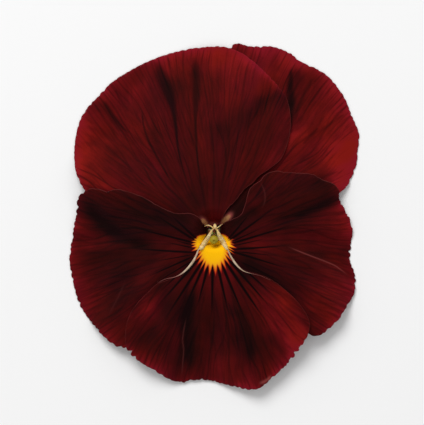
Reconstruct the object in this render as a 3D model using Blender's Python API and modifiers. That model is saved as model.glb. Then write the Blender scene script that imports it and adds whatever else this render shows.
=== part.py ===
"""A picked pansy bloom lying face up on a flat surface.

Five overlapping petals stand round a small throat. Behind them are a calyx of five sepals and a
short cut stem, and inside the throat are the pistil and a cone of five stamens. The origin is the
centre of the bloom's outline, at the surface that it lies on. +Y points to the two upper petals
and +Z out of the bloom's face. The dimensions below are in millimetres.
"""

import math

import bmesh
import bpy
from mathutils import Vector

MM = 0.001

# The whole face
HALF_WIDTH = 31.5
HALF_LENGTH = 37.5
CROWN_HEIGHT = 8.6
FALL_POWER = 2.2
LANDING = 0.9

# The throat: a small funnel round the axis of the calyx
AXIS_Y = -3.2
FUNNEL_DEPTH = 3.8
FUNNEL_FOOT_RADIUS = 1.4
FUNNEL_MOUTH_RADIUS = 5.2

# Petals
PETAL_THICKNESS = 0.4
LAYER = 0.8
PETAL_COLUMNS = 20
PETAL_ROWS = 18
ROW_CROWDING = 1.5

# Height of the face's edge above the surface, at angles round the origin. Zero is where it lies down.
EDGE_HEIGHTS = (
    (14, 1.8),
    (30, 0.0),
    (44, 0.0),
    (64, 1.5),
    (92, 0.3),
    (112, 1.5),
    (127, 0.0),
    (141, 0.0),
    (164, 2.0),
    (187, 0.0),
    (203, 0.0),
    (224, 3.6),
    (246, 3.8),
    (262, 0.0),
    (270, 0.0),
    (286, 4.8),
    (322, 5.0),
    (341, 0.0),
    (356, 0.0),
)

# Calyx, stem and the parts in the throat
SEPAL_THICKNESS = 0.4
SEPAL_ANGLES = {"top": 90, "upper_left": 160, "lower_left": 225, "lower_right": 315, "upper_right": 20}
SEPAL_LINE = (
    (3.7, 0.9), (2.9, 2.0), (2.4, 3.2), (3.0, 4.4), (4.6, 6.0), (7.5, 6.9), (11.0, 6.6), (14.0, 5.6),
)
SEPAL_WIDTHS = (1.3, 2.2, 1.7, 2.2, 3.2, 3.7, 2.4, 0.4)
SEPAL_CUP = 0.4
RECEPTACLE_TOP = 4.45
PISTIL_Y = -3.4
PISTIL_Z = 4.85
PISTIL_TILT = 25
STAMEN_ANGLES = {"top": 90, "upper_left": 162, "lower_left": 234, "lower_right": 306, "upper_right": 18}
STAMEN_RADIUS = 1.25
STAMEN_FLATNESS = 0.4
STAMEN_LEAN = 8
FILAMENT_GAP = 0.25

# Spur of the lower petal: a hollow horn that opens in the throat
SPUR_RADIUS = 1.15
SPUR_HOLLOW_RADIUS = 0.66
SPUR_MOUTH_RADIUS = 3.3
SPUR_TIP = (-9.3, 1.25)

# Each petal is a four-sided patch. Its outline runs clockwise, seen from above: out along one side
# from the claw, round the far edge, and back along the other side to the claw's second corner.
PETALS = {
    "upper_right_petal": {
        "side_out": (
            (0.3, -1.3), (0.6, 0.2), (0.2, 3.5), (-0.4, 11.0), (-0.8, 20.0), (-0.4, 28.6), (1.6, 34.6),
        ),
        "far_edge": (
            (4.7, 37.5), (8.2, 36.9), (13.0, 37.0), (17.0, 35.3), (20.5, 32.8), (25.2, 30.0),
            (28.5, 25.9), (30.3, 21.0), (31.7, 16.5), (31.1, 10.6),
        ),
        "side_back": ((28.3, 6.0), (22.0, 1.6), (13.0, -0.6), (6.0, -1.5), (3.2, -1.1), (1.5, -2.1)),
    },
    "upper_left_petal": {
        "side_out": ((-1.5, -2.1), (-3.2, -1.1), (-6.0, -1.5), (-11.0, -1.8), (-19.5, 0.0), (-26.8, 4.6)),
        "far_edge": (
            (-30.6, 12.0), (-29.4, 20.5), (-23.5, 28.3), (-15.0, 33.7), (-5.0, 36.8), (3.5, 36.4),
            (10.5, 32.0),
        ),
        "side_back": (
            (15.3, 25.2), (16.6, 18.0), (13.8, 11.5), (8.0, 6.5), (3.2, 2.2), (0.1, 0.1), (-0.3, -1.3),
        ),
    },
    "left_lateral_petal": {
        "side_out": (
            (-2.0, -4.2), (-2.5, -5.8), (-3.4, -8.0), (-5.0, -12.0), (-8.0, -18.0), (-11.4, -23.0),
            (-15.6, -26.8),
        ),
        "far_edge": (
            (-20.5, -28.3), (-25.5, -25.3), (-29.3, -20.3), (-31.2, -14.5), (-31.7, -9.5),
            (-30.8, -2.5), (-30.3, 2.5),
        ),
        "side_back": (
            (-27.6, 5.3), (-20.5, 5.4), (-15.0, 3.7), (-10.0, 1.0), (-5.8, -0.1), (-3.4, -1.8),
            (-2.1, -2.8),
        ),
    },
    "right_lateral_petal": {
        "side_out": (
            (2.1, -2.8), (3.4, -1.8), (5.0, -0.2), (6.4, 2.2), (7.9, 5.2), (10.0, 8.0), (13.0, 9.4),
            (17.0, 9.3), (21.5, 8.5),
        ),
        "far_edge": (
            (25.8, 6.6), (28.4, 2.4), (30.1, -3.5), (29.8, -9.5), (31.0, -14.5), (30.0, -18.5),
            (27.3, -22.6),
        ),
        "side_back": (
            (23.2, -25.4), (18.5, -24.2), (13.5, -20.4), (8.5, -16.4), (5.0, -12.0), (3.4, -8.2),
            (2.5, -5.8), (2.0, -4.2),
        ),
    },
    "lower_petal": {
        "side_out": (
            (0.9, -5.1), (2.5, -7.3), (4.3, -10.5), (6.2, -12.1), (9.1, -12.8), (12.4, -14.1),
            (16.0, -16.9), (19.2, -20.5), (20.7, -24.0), (19.6, -27.5),
        ),
        "far_edge": (
            (16.6, -31.4), (10.2, -37.3), (6.5, -37.4), (2.7, -36.5), (-2.5, -36.1), (-7.4, -35.7),
            (-12.4, -33.5), (-17.0, -30.7),
        ),
        "side_back": (
            (-19.3, -27.4), (-19.0, -22.8), (-16.6, -19.2), (-13.0, -15.6), (-8.5, -13.4),
            (-5.6, -11.0), (-3.8, -8.1), (-0.9, -5.1),
        ),
    },
}

COLOURS = {
    "upper_petal_red": (0.20, 0.008, 0.012),
    "lateral_petal_maroon": (0.085, 0.005, 0.009),
    "lower_petal_red": (0.13, 0.006, 0.009),
    "calyx_green": (0.10, 0.20, 0.045),
    "pistil_green": (0.45, 0.47, 0.08),
    "anther_cream": (0.60, 0.50, 0.24),
}


def ease(value):
    """A smooth step from 0 to 1."""
    value = min(max(value, 0.0), 1.0)
    return value * value * (3.0 - 2.0 * value)


def edge_height(angle):
    """Height of the face's edge at an angle in degrees, eased between the listed ones."""
    before = EDGE_HEIGHTS[-1]
    before = (before[0] - 360, before[1])
    angle = angle % 360
    for after in (*EDGE_HEIGHTS, (EDGE_HEIGHTS[0][0] + 360, EDGE_HEIGHTS[0][1])):
        if angle <= after[0]:
            share = ease((angle - before[0]) / (after[0] - before[0]))
            return before[1] + (after[1] - before[1]) * share
        before = after
    return before[1]


def axis_distance(x, y):
    """Distance from the axis of the throat, seen from above."""
    return math.hypot(x, y - AXIS_Y)


def face_height(x, y):
    """Height of the surface that every petal follows: a dome with a funnel in it, lying on its edge."""
    out = math.hypot(x / HALF_WIDTH, y / HALF_LENGTH) / LANDING
    rim = edge_height(math.degrees(math.atan2(y, x)))
    past_foot = axis_distance(x, y) - FUNNEL_FOOT_RADIUS
    throat = 1.0 - ease(past_foot / (FUNNEL_MOUTH_RADIUS - FUNNEL_FOOT_RADIUS))
    height = CROWN_HEIGHT - (CROWN_HEIGHT - rim) * out**FALL_POWER - FUNNEL_DEPTH * throat
    return max(height, PETAL_THICKNESS / 2)


def face_normal(x, y):
    """Unit normal of that surface."""
    step = 0.05
    slope_x = (face_height(x + step, y) - face_height(x - step, y)) / (2 * step)
    slope_y = (face_height(x, y + step) - face_height(x, y - step)) / (2 * step)
    return Vector((-slope_x, -slope_y, 1.0)).normalized()


def face_point(x, y, lift):
    """The point above (x, y) on the face, moved out by lift along the normal."""
    return Vector((x, y, face_height(x, y))) + face_normal(x, y) * lift


def petal_lift(name, x, y):
    """How far a petal lies above the face, so that overlapping petals stay one layer apart."""
    out_of_claw = ease((axis_distance(x, y) - 2.2) / 1.3)
    over_upper_right = ease((x + 9.0) / 7.0)
    over_upper_petals = ease((y + 6.5) / 4.0)
    if name == "upper_left_petal":
        return LAYER * over_upper_right * out_of_claw
    if name == "left_lateral_petal":
        return LAYER * (1.0 + over_upper_right) * over_upper_petals * out_of_claw
    if name == "right_lateral_petal":
        over_both = 1.0 - ease((math.hypot(x - 9.0, y - 6.5) - 3.0) / 4.0)
        return LAYER * (1.0 + over_both) * over_upper_petals * out_of_claw
    if name == "lower_petal":
        over_laterals = ease((axis_distance(x, y) - 3.4) / 1.3)
        lies_down = 1.0 - ease((-y - 29.0) / 4.5)
        return 1.1 * LAYER * over_laterals * lies_down
    return 0.0


def fine_curve(points, steps=12):
    """Short steps along a Catmull-Rom curve through the given points."""
    points = [Vector(point) for point in points]
    ends = [2 * points[0] - points[1], *points, 2 * points[-1] - points[-2]]
    fine = []
    for a, b, c, d in zip(ends, ends[1:], ends[2:], ends[3:]):
        for k in range(steps):
            t = k / steps
            bend = (2 * a - 5 * b + 4 * c - d) * t**2 + (3 * b - a - 3 * c + d) * t**3
            fine.append(0.5 * (2 * b + (c - a) * t + bend))
    fine.append(points[-1])
    return fine


def spaced(fine, shares):
    """Points of a fine curve at the given shares of its length."""
    along = [0.0]
    for a, b in zip(fine, fine[1:]):
        along.append(along[-1] + (b - a).length)
    found = []
    k = 0
    for share in shares:
        wanted = along[-1] * share
        while k < len(fine) - 2 and along[k + 1] < wanted:
            k += 1
        found.append(fine[k].lerp(fine[k + 1], min((wanted - along[k]) / (along[k + 1] - along[k]), 1.0)))
    return found


def even_shares(count, crowding=1.0):
    """Shares from 0 to 1, closer together at the start where crowding is over 1."""
    return [(k / count) ** crowding for k in range(count + 1)]


def material(name):
    """A plain Principled material in one of the bloom's colours."""
    found = bpy.data.materials.get(name)
    if found:
        return found
    made = bpy.data.materials.new(name)
    made.use_nodes = True
    shader = made.node_tree.nodes["Principled BSDF"]
    shader.inputs["Base Color"].default_value = (*COLOURS[name], 1.0)
    shader.inputs["Roughness"].default_value = 0.6
    shader.inputs["Metallic"].default_value = 0.0
    return made


def place(mesh, name, collection, finish):
    """A mesh as a smooth-shaded object in a collection."""
    made = bpy.data.objects.new(name, mesh)
    collection.objects.link(made)
    mesh.materials.append(material(finish))
    mesh.shade_smooth()
    return made


def grid_sheet(name, columns, rows, where):
    """A mesh grid whose points go where the function says, for shares across and along from 0 to 1."""
    sheet = bmesh.new()
    bmesh.ops.create_grid(sheet, x_segments=columns, y_segments=rows, size=1.0)
    for corner in sheet.verts:
        corner.co = where((corner.co.x + 1) / 2, (corner.co.y + 1) / 2) * MM
    mesh = bpy.data.meshes.new(name)
    sheet.normal_update()
    sheet.to_mesh(mesh)
    sheet.free()
    return mesh


def thicken(made, thickness):
    """Turns an open sheet into a closed shell, half of it on each side."""
    shell = made.modifiers.new("thickness", "SOLIDIFY")
    shell.thickness = thickness * MM
    shell.offset = 0.0
    return made


def petal(name, finish, collection):
    """A petal: a patch between its claw, its two sides and its far edge."""
    shape = PETALS[name]
    steps = 12
    fine = fine_curve([*shape["side_out"], *shape["far_edge"], *shape["side_back"]], steps)
    first_corner = (len(shape["side_out"]) - 1) * steps
    second_corner = (len(shape["side_out"]) + len(shape["far_edge"])) * steps
    up = even_shares(PETAL_ROWS, ROW_CROWDING)
    side_out = spaced(fine[: first_corner + 1], up)
    side_back = spaced(fine[second_corner:][::-1], up)
    far_edge = spaced(fine[first_corner : second_corner + 1], even_shares(PETAL_COLUMNS))

    def where(across, along):
        row = round(along * PETAL_ROWS)
        u, v = across, up[row]
        sides = side_out[row].lerp(side_back[row], u)
        claw = side_out[0].lerp(side_back[0], u)
        far = far_edge[round(across * PETAL_COLUMNS)]
        straight_far = far_edge[0].lerp(far_edge[-1], u)
        flat = sides + claw.lerp(far, v) - claw.lerp(straight_far, v)
        return face_point(flat.x, flat.y, petal_lift(name, flat.x, flat.y))

    made = place(grid_sheet(name, PETAL_COLUMNS, PETAL_ROWS, where), name, collection, finish)
    return thicken(made, PETAL_THICKNESS)


def sepal(name, angle, collection):
    """A sepal: a blade that cups the petals from below, with its ear reaching back past the joint."""
    columns, rows = 4, 14
    stations = [(r, z, w) for (r, z), w in zip(SEPAL_LINE, SEPAL_WIDTHS)]
    line = spaced(fine_curve(stations), even_shares(rows))
    outward = Vector((math.cos(math.radians(angle)), math.sin(math.radians(angle)), 0.0))
    sideways = Vector((-outward.y, outward.x, 0.0))

    def where(across, along):
        radius, height, width = line[round(along * rows)]
        side = 2 * across - 1
        centre = Vector((0.0, AXIS_Y, height + SEPAL_CUP * side * side * along))
        return centre + outward * radius + sideways * side * width / 2

    made = place(grid_sheet(name, columns, rows, where), name, collection, "calyx_green")
    return thicken(made, SEPAL_THICKNESS)


def turned(name, profile, sides, collection, finish):
    """A round solid: a profile of (radius, height) points, top to bottom, turned about Z."""
    mesh = bpy.data.meshes.new(name)
    points = [(radius * MM, 0.0, height * MM) for radius, height in profile]
    mesh.from_pydata(points, [(k, k + 1) for k in range(len(points) - 1)], [])
    made = place(mesh, name, collection, finish)
    screw = made.modifiers.new("turn", "SCREW")
    screw.steps = sides
    screw.render_steps = sides
    screw.use_merge_vertices = True
    screw.merge_threshold = 0.00001
    return made


def receptacle_and_stem(collection):
    """The knob that carries every other part, with the stub of the cut stem below it."""
    profile = (
        (0.0, RECEPTACLE_TOP), (1.8, RECEPTACLE_TOP), (2.05, 4.1), (1.95, 3.3), (1.5, 2.6),
        (1.05, 2.1), (0.9, 1.2), (0.95, 0.0), (0.0, 0.0),
    )
    made = turned("receptacle_and_stem", profile, 20, collection, "calyx_green")
    made.location = Vector((0.0, AXIS_Y, 0.0)) * MM
    return made


def throat_axis(collection):
    """An empty on the pistil's own axis, which leans towards the lower petal."""
    made = bpy.data.objects.new("throat_axis", None)
    collection.objects.link(made)
    made.location = Vector((0.0, PISTIL_Y, PISTIL_Z)) * MM
    made.rotation_euler = (math.radians(PISTIL_TILT), 0.0, 0.0)
    return made


def pistil(axis, collection):
    """Ovary, style and the round stigma in one piece."""
    profile = (
        (0.0, 5.5), (0.5, 5.38), (0.82, 4.95), (0.8, 4.45), (0.5, 4.0), (0.26, 3.7), (0.2, 3.3),
        (0.3, 2.9), (0.5, 2.3), (0.56, 1.5), (0.5, 0.6), (0.36, 0.0), (0.0, 0.0),
    )
    made = turned("pistil", profile, 16, collection, "pistil_green")
    made.parent = axis
    return made


def stamen(name, angle, axis, collection):
    """A flat anther against the ovary, on a filament just long enough to reach the receptacle."""
    turn, tilt = math.radians(angle), math.radians(PISTIL_TILT)
    seat = RECEPTACLE_TOP + FILAMENT_GAP - PISTIL_Z
    foot = (seat - STAMEN_RADIUS * math.sin(turn) * math.sin(tilt)) / math.cos(tilt)
    profile = (
        (0.0, 3.1), (0.22, 2.95), (0.48, 2.2), (0.52, 1.5), (0.4, 0.9), (0.2, 0.6),
        (0.16, foot), (0.0, foot),
    )
    made = turned(name, profile, 10, collection, "anther_cream")
    made.parent = axis
    made.location = Vector((math.cos(turn), math.sin(turn), 0.0)) * STAMEN_RADIUS * MM
    made.rotation_euler = (0.0, -math.radians(STAMEN_LEAN), turn)
    made.scale = (STAMEN_FLATNESS, 1.0, 1.0)
    return made


def horn(name, radius, above, end_inside):
    """A closed tapered tube along the spur's line, as a mesh object that a Boolean can use."""
    y = AXIS_Y - SPUR_MOUTH_RADIUS
    mouth = face_point(0.0, y, 0.0)
    inward = face_normal(0.0, y)
    tip = Vector((0.0, *SPUR_TIP))
    bend = mouth - inward * 2.0 + Vector((0.0, 0.1, -1.2))
    stations = [mouth + inward * above, mouth - inward * 0.9, bend, tip]
    line = spaced(fine_curve(stations), even_shares(8))
    curve = bpy.data.curves.new(name, "CURVE")
    curve.dimensions = "3D"
    curve.bevel_depth = radius * MM
    curve.bevel_resolution = 3
    curve.use_fill_caps = True
    spline = curve.splines.new("POLY")
    line[-1] = line[-1].lerp(line[-2], end_inside)
    line.append(line[-1] + (line[-1] - line[-2]).normalized() * radius * 0.45)
    spline.points.add(len(line) - 1)
    for k, (point, station) in enumerate(zip(spline.points, line)):
        point.co = (*(station * MM), 1.0)
        point.radius = 1.0 - 0.02 * k
    spline.points[-1].radius = 0.45
    helper = bpy.data.objects.new(name, curve)
    bpy.context.scene.collection.objects.link(helper)
    bpy.context.view_layer.update()
    mesh = bpy.data.meshes.new_from_object(helper.evaluated_get(bpy.context.evaluated_depsgraph_get()))
    weld = bmesh.new()
    weld.from_mesh(mesh)
    bmesh.ops.remove_doubles(weld, verts=weld.verts, dist=0.000005)
    weld.to_mesh(mesh)
    weld.free()
    made = bpy.data.objects.new(name, mesh)
    made.matrix_world = helper.matrix_world
    bpy.data.objects.remove(helper)
    return made


def add_spur(lower, helpers):
    """Joins the spur to the back of the lower petal and opens it into the throat."""
    steps = (
        ("UNION", horn("spur_body", SPUR_RADIUS, 0.05, 0.0)),
        ("DIFFERENCE", horn("spur_hollow", SPUR_HOLLOW_RADIUS, 1.2, 0.5)),
    )
    for operation, tool in steps:
        helpers.objects.link(tool)
        tool.hide_render = True
        tool.display_type = "WIRE"
        joint = lower.modifiers.new(tool.name, "BOOLEAN")
        joint.operation = operation
        joint.solver = "EXACT"
        joint.object = tool


def clear_scene():
    for leftover in list(bpy.data.objects):
        bpy.data.objects.remove(leftover)


def collection_named(name):
    made = bpy.data.collections.new(name)
    bpy.context.scene.collection.children.link(made)
    return made


def build_bloom():
    clear_scene()
    bloom = collection_named("pansy_bloom")
    helpers = collection_named("helpers")
    helpers.hide_render = True
    finishes = {
        "upper_right_petal": "upper_petal_red",
        "upper_left_petal": "upper_petal_red",
        "left_lateral_petal": "lateral_petal_maroon",
        "right_lateral_petal": "lateral_petal_maroon",
        "lower_petal": "lower_petal_red",
    }
    petals = {name: petal(name, finish, bloom) for name, finish in finishes.items()}
    add_spur(petals["lower_petal"], helpers)
    receptacle_and_stem(bloom)
    for side, angle in SEPAL_ANGLES.items():
        sepal(f"sepal_{side}", angle, bloom)
    axis = throat_axis(bloom)
    pistil(axis, bloom)
    for side, angle in STAMEN_ANGLES.items():
        stamen(f"stamen_{side}", angle, axis, bloom)


build_bloom()
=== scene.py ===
# %% [markdown]
# # A picked pansy bloom
# A pansy has five petals that overlap like cards in a hand: two upper petals, two side petals
# with a beard of hairs, and a lower petal with a spur behind it. The CAD model gives every petal
# its place and its layer. Here each one gets a much finer sheet with waves, a toothed margin,
# veins and markings. The unit and the throat's axis are measured from the CAD model, so the
# finer pieces need no fitting.

import math

import bmesh
import bpy
import numpy as np
from mathutils import Matrix, Vector


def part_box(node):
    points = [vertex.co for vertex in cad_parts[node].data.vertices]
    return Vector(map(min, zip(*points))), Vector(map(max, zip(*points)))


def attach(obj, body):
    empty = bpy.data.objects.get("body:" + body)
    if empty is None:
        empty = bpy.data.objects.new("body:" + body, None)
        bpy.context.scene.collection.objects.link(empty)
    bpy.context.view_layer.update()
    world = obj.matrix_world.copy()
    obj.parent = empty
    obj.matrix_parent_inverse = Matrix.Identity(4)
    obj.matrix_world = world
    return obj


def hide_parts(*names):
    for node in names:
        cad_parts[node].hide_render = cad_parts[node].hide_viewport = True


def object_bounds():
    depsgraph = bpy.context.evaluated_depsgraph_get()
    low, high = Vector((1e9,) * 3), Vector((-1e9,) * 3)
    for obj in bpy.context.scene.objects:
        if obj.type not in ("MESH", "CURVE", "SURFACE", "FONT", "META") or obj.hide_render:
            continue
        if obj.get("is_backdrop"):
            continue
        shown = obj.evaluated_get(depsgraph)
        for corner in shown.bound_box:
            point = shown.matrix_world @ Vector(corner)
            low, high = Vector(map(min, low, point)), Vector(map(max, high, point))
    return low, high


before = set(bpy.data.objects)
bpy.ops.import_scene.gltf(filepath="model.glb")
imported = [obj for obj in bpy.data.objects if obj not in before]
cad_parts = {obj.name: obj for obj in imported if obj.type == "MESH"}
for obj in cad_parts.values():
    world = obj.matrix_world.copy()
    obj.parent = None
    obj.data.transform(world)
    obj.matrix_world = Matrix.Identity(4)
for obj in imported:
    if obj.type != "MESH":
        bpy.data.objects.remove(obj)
cad_low, cad_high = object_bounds()

BLOOM_LENGTH = 75.3
MM = (cad_high.y - cad_low.y) / BLOOM_LENGTH
print(f"the bloom is {(cad_high.x - cad_low.x) / MM:.1f} x {BLOOM_LENGTH} x {cad_high.z / MM:.1f} mm")

# %% Two helpers for new objects
def in_scene(name, data):
    """A new object, linked to the scene."""
    made = bpy.data.objects.new(name, data)
    bpy.context.scene.collection.objects.link(made)
    return made


def as_mesh(shape, name):
    """Turns a bmesh into a mesh and frees it."""
    mesh = bpy.data.meshes.new(name)
    shape.to_mesh(mesh)
    shape.free()
    return mesh


# %% [markdown]
# ## Camera, light and floor
# The bloom lies on a white table and is seen from straight above. A long lens keeps the
# perspective flat. One large lamp beyond the upper petals gives soft shadows that fall under the
# lower petals, and a white world fills them. The Standard view transform keeps deep reds saturated,
# where a filmic one would turn them brown.

# %% Camera
FRAME_HEIGHT = 93.5
VIEW_CENTRE = (-0.44, 0.55)
LENS = 200.0
SENSOR = 36.0

camera_data = bpy.data.cameras.new("camera")
camera_data.lens = LENS
camera_data.sensor_width = SENSOR
camera_data.clip_start = 0.01
camera = in_scene("camera", camera_data)
camera_height = cad_high.z / MM / 2 + LENS / SENSOR * FRAME_HEIGHT
camera.location = Vector((*VIEW_CENTRE, camera_height)) * MM
bpy.context.scene.camera = camera
print("camera height in mm", round(camera_height))

# %% World, key light and floor
FILL = 0.54
KEY_PLACE = Vector((-330.0, 850.0, 980.0))
KEY_SIZE = 760.0
KEY_POWER = 11.8
FLOOR_SIZE = 1500
WHITE = (1.0, 1.0, 1.0, 1.0)
PAPER_WHITE = (0.93, 0.93, 0.93, 1.0)

world = bpy.data.worlds.new("studio")
world.use_nodes = True
sky = world.node_tree.nodes["Background"].inputs
sky["Color"].default_value = WHITE
sky["Strength"].default_value = FILL
bpy.context.scene.world = world
bpy.context.scene.view_settings.view_transform = "Standard"

key_data = bpy.data.lights.new("key", "AREA")
key_data.shape = "DISK"
key_data.size = KEY_SIZE * MM
key_data.energy = KEY_POWER
key = in_scene("key", key_data)
key.location = KEY_PLACE * MM
key.rotation_euler = KEY_PLACE.to_track_quat("Z", "Y").to_euler()

floor_shape = bmesh.new()
bmesh.ops.create_grid(floor_shape, x_segments=1, y_segments=1, size=FLOOR_SIZE * MM)
floor = in_scene("floor", as_mesh(floor_shape, "floor"))
paper = bpy.data.materials.new("white_paper")
paper.use_nodes = True
paper_inputs = paper.node_tree.nodes["Principled BSDF"].inputs
paper_inputs["Base Color"].default_value = PAPER_WHITE
paper_inputs["Roughness"].default_value = 0.9
paper_inputs["Specular IOR Level"].default_value = 0.1
floor.data.materials.append(paper)
floor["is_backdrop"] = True
print("the lamp is", KEY_SIZE, "mm wide and the floor", 2 * FLOOR_SIZE, "mm")

# %% [markdown]
# ## The surface that all petals share
# Real petals press on each other, so their layers follow one common form: a shallow dome with a
# small funnel at its middle, which lies down on the table at parts of its margin. Nearly the
# same numbers shape the CAD petals. The visual adds waves and a few folds. Because they
# are in the common form, a fold bends every layer together and no petal cuts through another.

# %% Smooth steps, and the numbers of the common form
def ease(value):
    """A smooth step from 0 to 1."""
    value = np.clip(value, 0.0, 1.0)
    return value * value * (3.0 - 2.0 * value)


HALF_WIDTH = 31.5
HALF_LENGTH = 37.5
CROWN_HEIGHT = 8.6
FALL_POWER = 2.2
LANDING = 0.9
FUNNEL_DEPTH = 3.8
FUNNEL_FOOT_RADIUS = 1.4
FUNNEL_MOUTH_RADIUS = 5.2
WAVES_BEGIN = 0.35
WAVES_RISE = 0.5
TABLE_SOFTNESS = 0.35

receptacle_low, receptacle_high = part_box("receptacle_and_stem")
AXIS_Y = (receptacle_low.y + receptacle_high.y) / 2 / MM

# Angle round the bloom in degrees, and how high its margin is above the table there
EDGE_HEIGHTS = (
    (14, 1.8), (30, 0), (44, 0), (64, 1.5), (92, 0.3), (112, 1.5), (127, 0), (141, 0), (164, 3), (187, 0),
    (203, 0), (214, 1.6), (224, 4), (246, 4.4), (262, 2.3), (270, 2.1), (286, 4.8), (320, 5), (331, 3.2),
    (341, 0), (356, 0),
)

# %% The dome with its funnel
def edge_height(degrees):
    """Height of the margin above the table, eased between the listed angles."""
    angles = np.array([angle for angle, _ in EDGE_HEIGHTS], float)
    heights = np.array([height for _, height in EDGE_HEIGHTS])
    angles = np.concatenate(([angles[-1] - 360], angles, [angles[0] + 360]))
    heights = np.concatenate(([heights[-1]], heights, [heights[0]]))
    degrees = np.mod(degrees, 360)
    after = np.clip(np.searchsorted(angles, degrees), 1, len(angles) - 1)
    share = ease((degrees - angles[after - 1]) / (angles[after] - angles[after - 1]))
    return heights[after - 1] + (heights[after] - heights[after - 1]) * share


def axis_distance(x, y):
    """Distance from the axis of the throat, seen from above."""
    return np.hypot(x, y - AXIS_Y)


print("the throat's axis is at y =", round(AXIS_Y, 2), "mm")

# %% [markdown]
# A fold is a valley along a line, and a line is a few points joined by a smooth curve. The same helpers will
# also draw the creases and the bands of painted shade on the petals.

# %% Smooth lines and the distance to them
def smooth_line(points, steps=16):
    """Short steps along a Catmull-Rom curve through the given points."""
    points = np.array(points, float)
    ends = np.vstack((2 * points[0] - points[1], points, 2 * points[-1] - points[-2]))
    t = np.arange(steps)[:, None] / steps
    pieces = []
    for a, b, c, d in zip(ends, ends[1:], ends[2:], ends[3:]):
        bend = (2 * a - 5 * b + 4 * c - d) * t**2 + (3 * b - a - 3 * c + d) * t**3
        pieces.append(0.5 * (2 * b + (c - a) * t + bend))
    return np.vstack((*pieces, points[-1:]))


def lengths_along(line):
    """Distance travelled at every point of a line."""
    return np.concatenate(([0.0], np.cumsum(np.linalg.norm(np.diff(line, axis=0), axis=1))))


def spaced(line, shares):
    """Points of a line at the given shares of its length."""
    along = lengths_along(line[:, :2])
    return np.stack([np.interp(shares * along[-1], along, line[:, k]) for k in range(line.shape[1])], axis=1)


def near_line(x, y, points):
    """Distance to a smooth line through the points, and the share of its length at the nearest spot."""
    line = smooth_line(points, 4)
    along = lengths_along(line)
    distance = np.full(x.shape, 1e9)
    share = np.zeros(x.shape)
    for k in range(len(line) - 1):
        step = line[k + 1] - line[k]
        t = np.clip(((x - line[k, 0]) * step[0] + (y - line[k, 1]) * step[1]) / (step @ step), 0, 1)
        away = np.hypot(x - line[k, 0] - t * step[0], y - line[k, 1] - t * step[1])
        closer = away < distance
        distance = np.where(closer, away, distance)
        share = np.where(closer, (along[k] + t * (along[k + 1] - along[k])) / along[-1], share)
    return distance, share


def soft_stroke(x, y, points, width):
    """A soft brush stroke along a line: 1 at its middle, fading to its sides and its ends."""
    distance, share = near_line(x, y, points)
    return np.exp(-((distance / width) ** 2)) * ease(share / 0.25) * ease((1 - share) / 0.25)


def tapering_stroke(x, y, stations):
    """A stroke through (x, y, half width) stations, with fairly crisp sides and soft ends."""
    distance, share = near_line(x, y, [station[:2] for station in stations])
    along = lengths_along(np.array([station[:2] for station in stations]))
    width = np.interp(share, along / along[-1], [station[2] for station in stations])
    return np.exp(-((distance / width) ** 3)) * ease(share / 0.12) * ease((1 - share) / 0.2)


# %% Folds and waves in the common form
# Each fold: the points of its line, half its width and its depth
FOLDS = (
    (((-12, 34), (-10.5, 28), (-8.6, 22), (-7.4, 12)), 1.3, 0.5),
    (((-3.8, 35.5), (-4, 28), (-3.8, 18), (-3, 9)), 1.7, 0.55),
    (((-25, 26), (-22.5, 21.5), (-17, 14)), 1.2, 0.35),
    (((18.6, 32.5), (17.6, 27.5), (16.8, 22)), 1.4, 0.5),
    (((-28, 4), (-22.5, -2.5), (-18.5, -6), (-13, -7.6)), 1.3, 0.5),
    (((28, 4), (22, 1.2), (17, -0.8), (11, -2.6)), 1.5, 0.5),
    (((16, -6.8), (21, -9), (25, -11), (30.5, -13.8)), 0.5, -0.3),
    (((-5, -17), (-6.2, -25), (-7, -37)), 1.5, 0.55),
    (((5, -18), (7.8, -27), (9.2, -37)), 1.6, 0.4),
    (((-9, -17), (-13, -24), (-15.5, -33)), 1.4, 0.35),
    (((9, -15), (14, -20), (21, -25)), 1.6, -0.35),
)
# Each wave: how many crests it has round the bloom, where it starts and its height
WAVES = ((9, 0.9, 0.22), (14, 2.3, 0.16), (23, 4.1, 0.12), (37, 0.4, 0.07))
SHEET = 0.26


def common_height(x, y):
    """Height of the common form, in millimetres, with its waves and folds."""
    angle = np.arctan2(y, x)
    out = np.hypot(x / HALF_WIDTH, y / HALF_LENGTH) / LANDING
    funnel_width = FUNNEL_MOUTH_RADIUS - FUNNEL_FOOT_RADIUS
    throat = 1.0 - ease((axis_distance(x, y) - FUNNEL_FOOT_RADIUS) / funnel_width)
    rim = edge_height(np.degrees(angle))
    height = CROWN_HEIGHT - (CROWN_HEIGHT - rim) * out**FALL_POWER - FUNNEL_DEPTH * throat
    outside = ease((out - WAVES_BEGIN) / WAVES_RISE)
    for count, phase, amplitude in WAVES:
        height = height + amplitude * outside * np.sin(count * angle + phase)
    for line, width, depth in FOLDS:
        height = height - depth * soft_stroke(x, y, line, width)
    lowest = SHEET / 2
    return lowest + np.logaddexp(0.0, (height - lowest) / TABLE_SOFTNESS) * TABLE_SOFTNESS


print("crown height", round(float(common_height(np.array([6.0]), np.array([0.0]))[0]), 2), "mm")

# %% [markdown]
# ## Petal outlines
# Each petal is a patch with four sides: the claw, where it grows from the receptacle, one
# side, the far edge and the other side. The outline is a smooth curve through points that run
# clockwise, seen from above. A real margin isn't smooth, so small teeth are cut into it: notches
# of uneven depth, a couple of millimetres apart.

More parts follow.
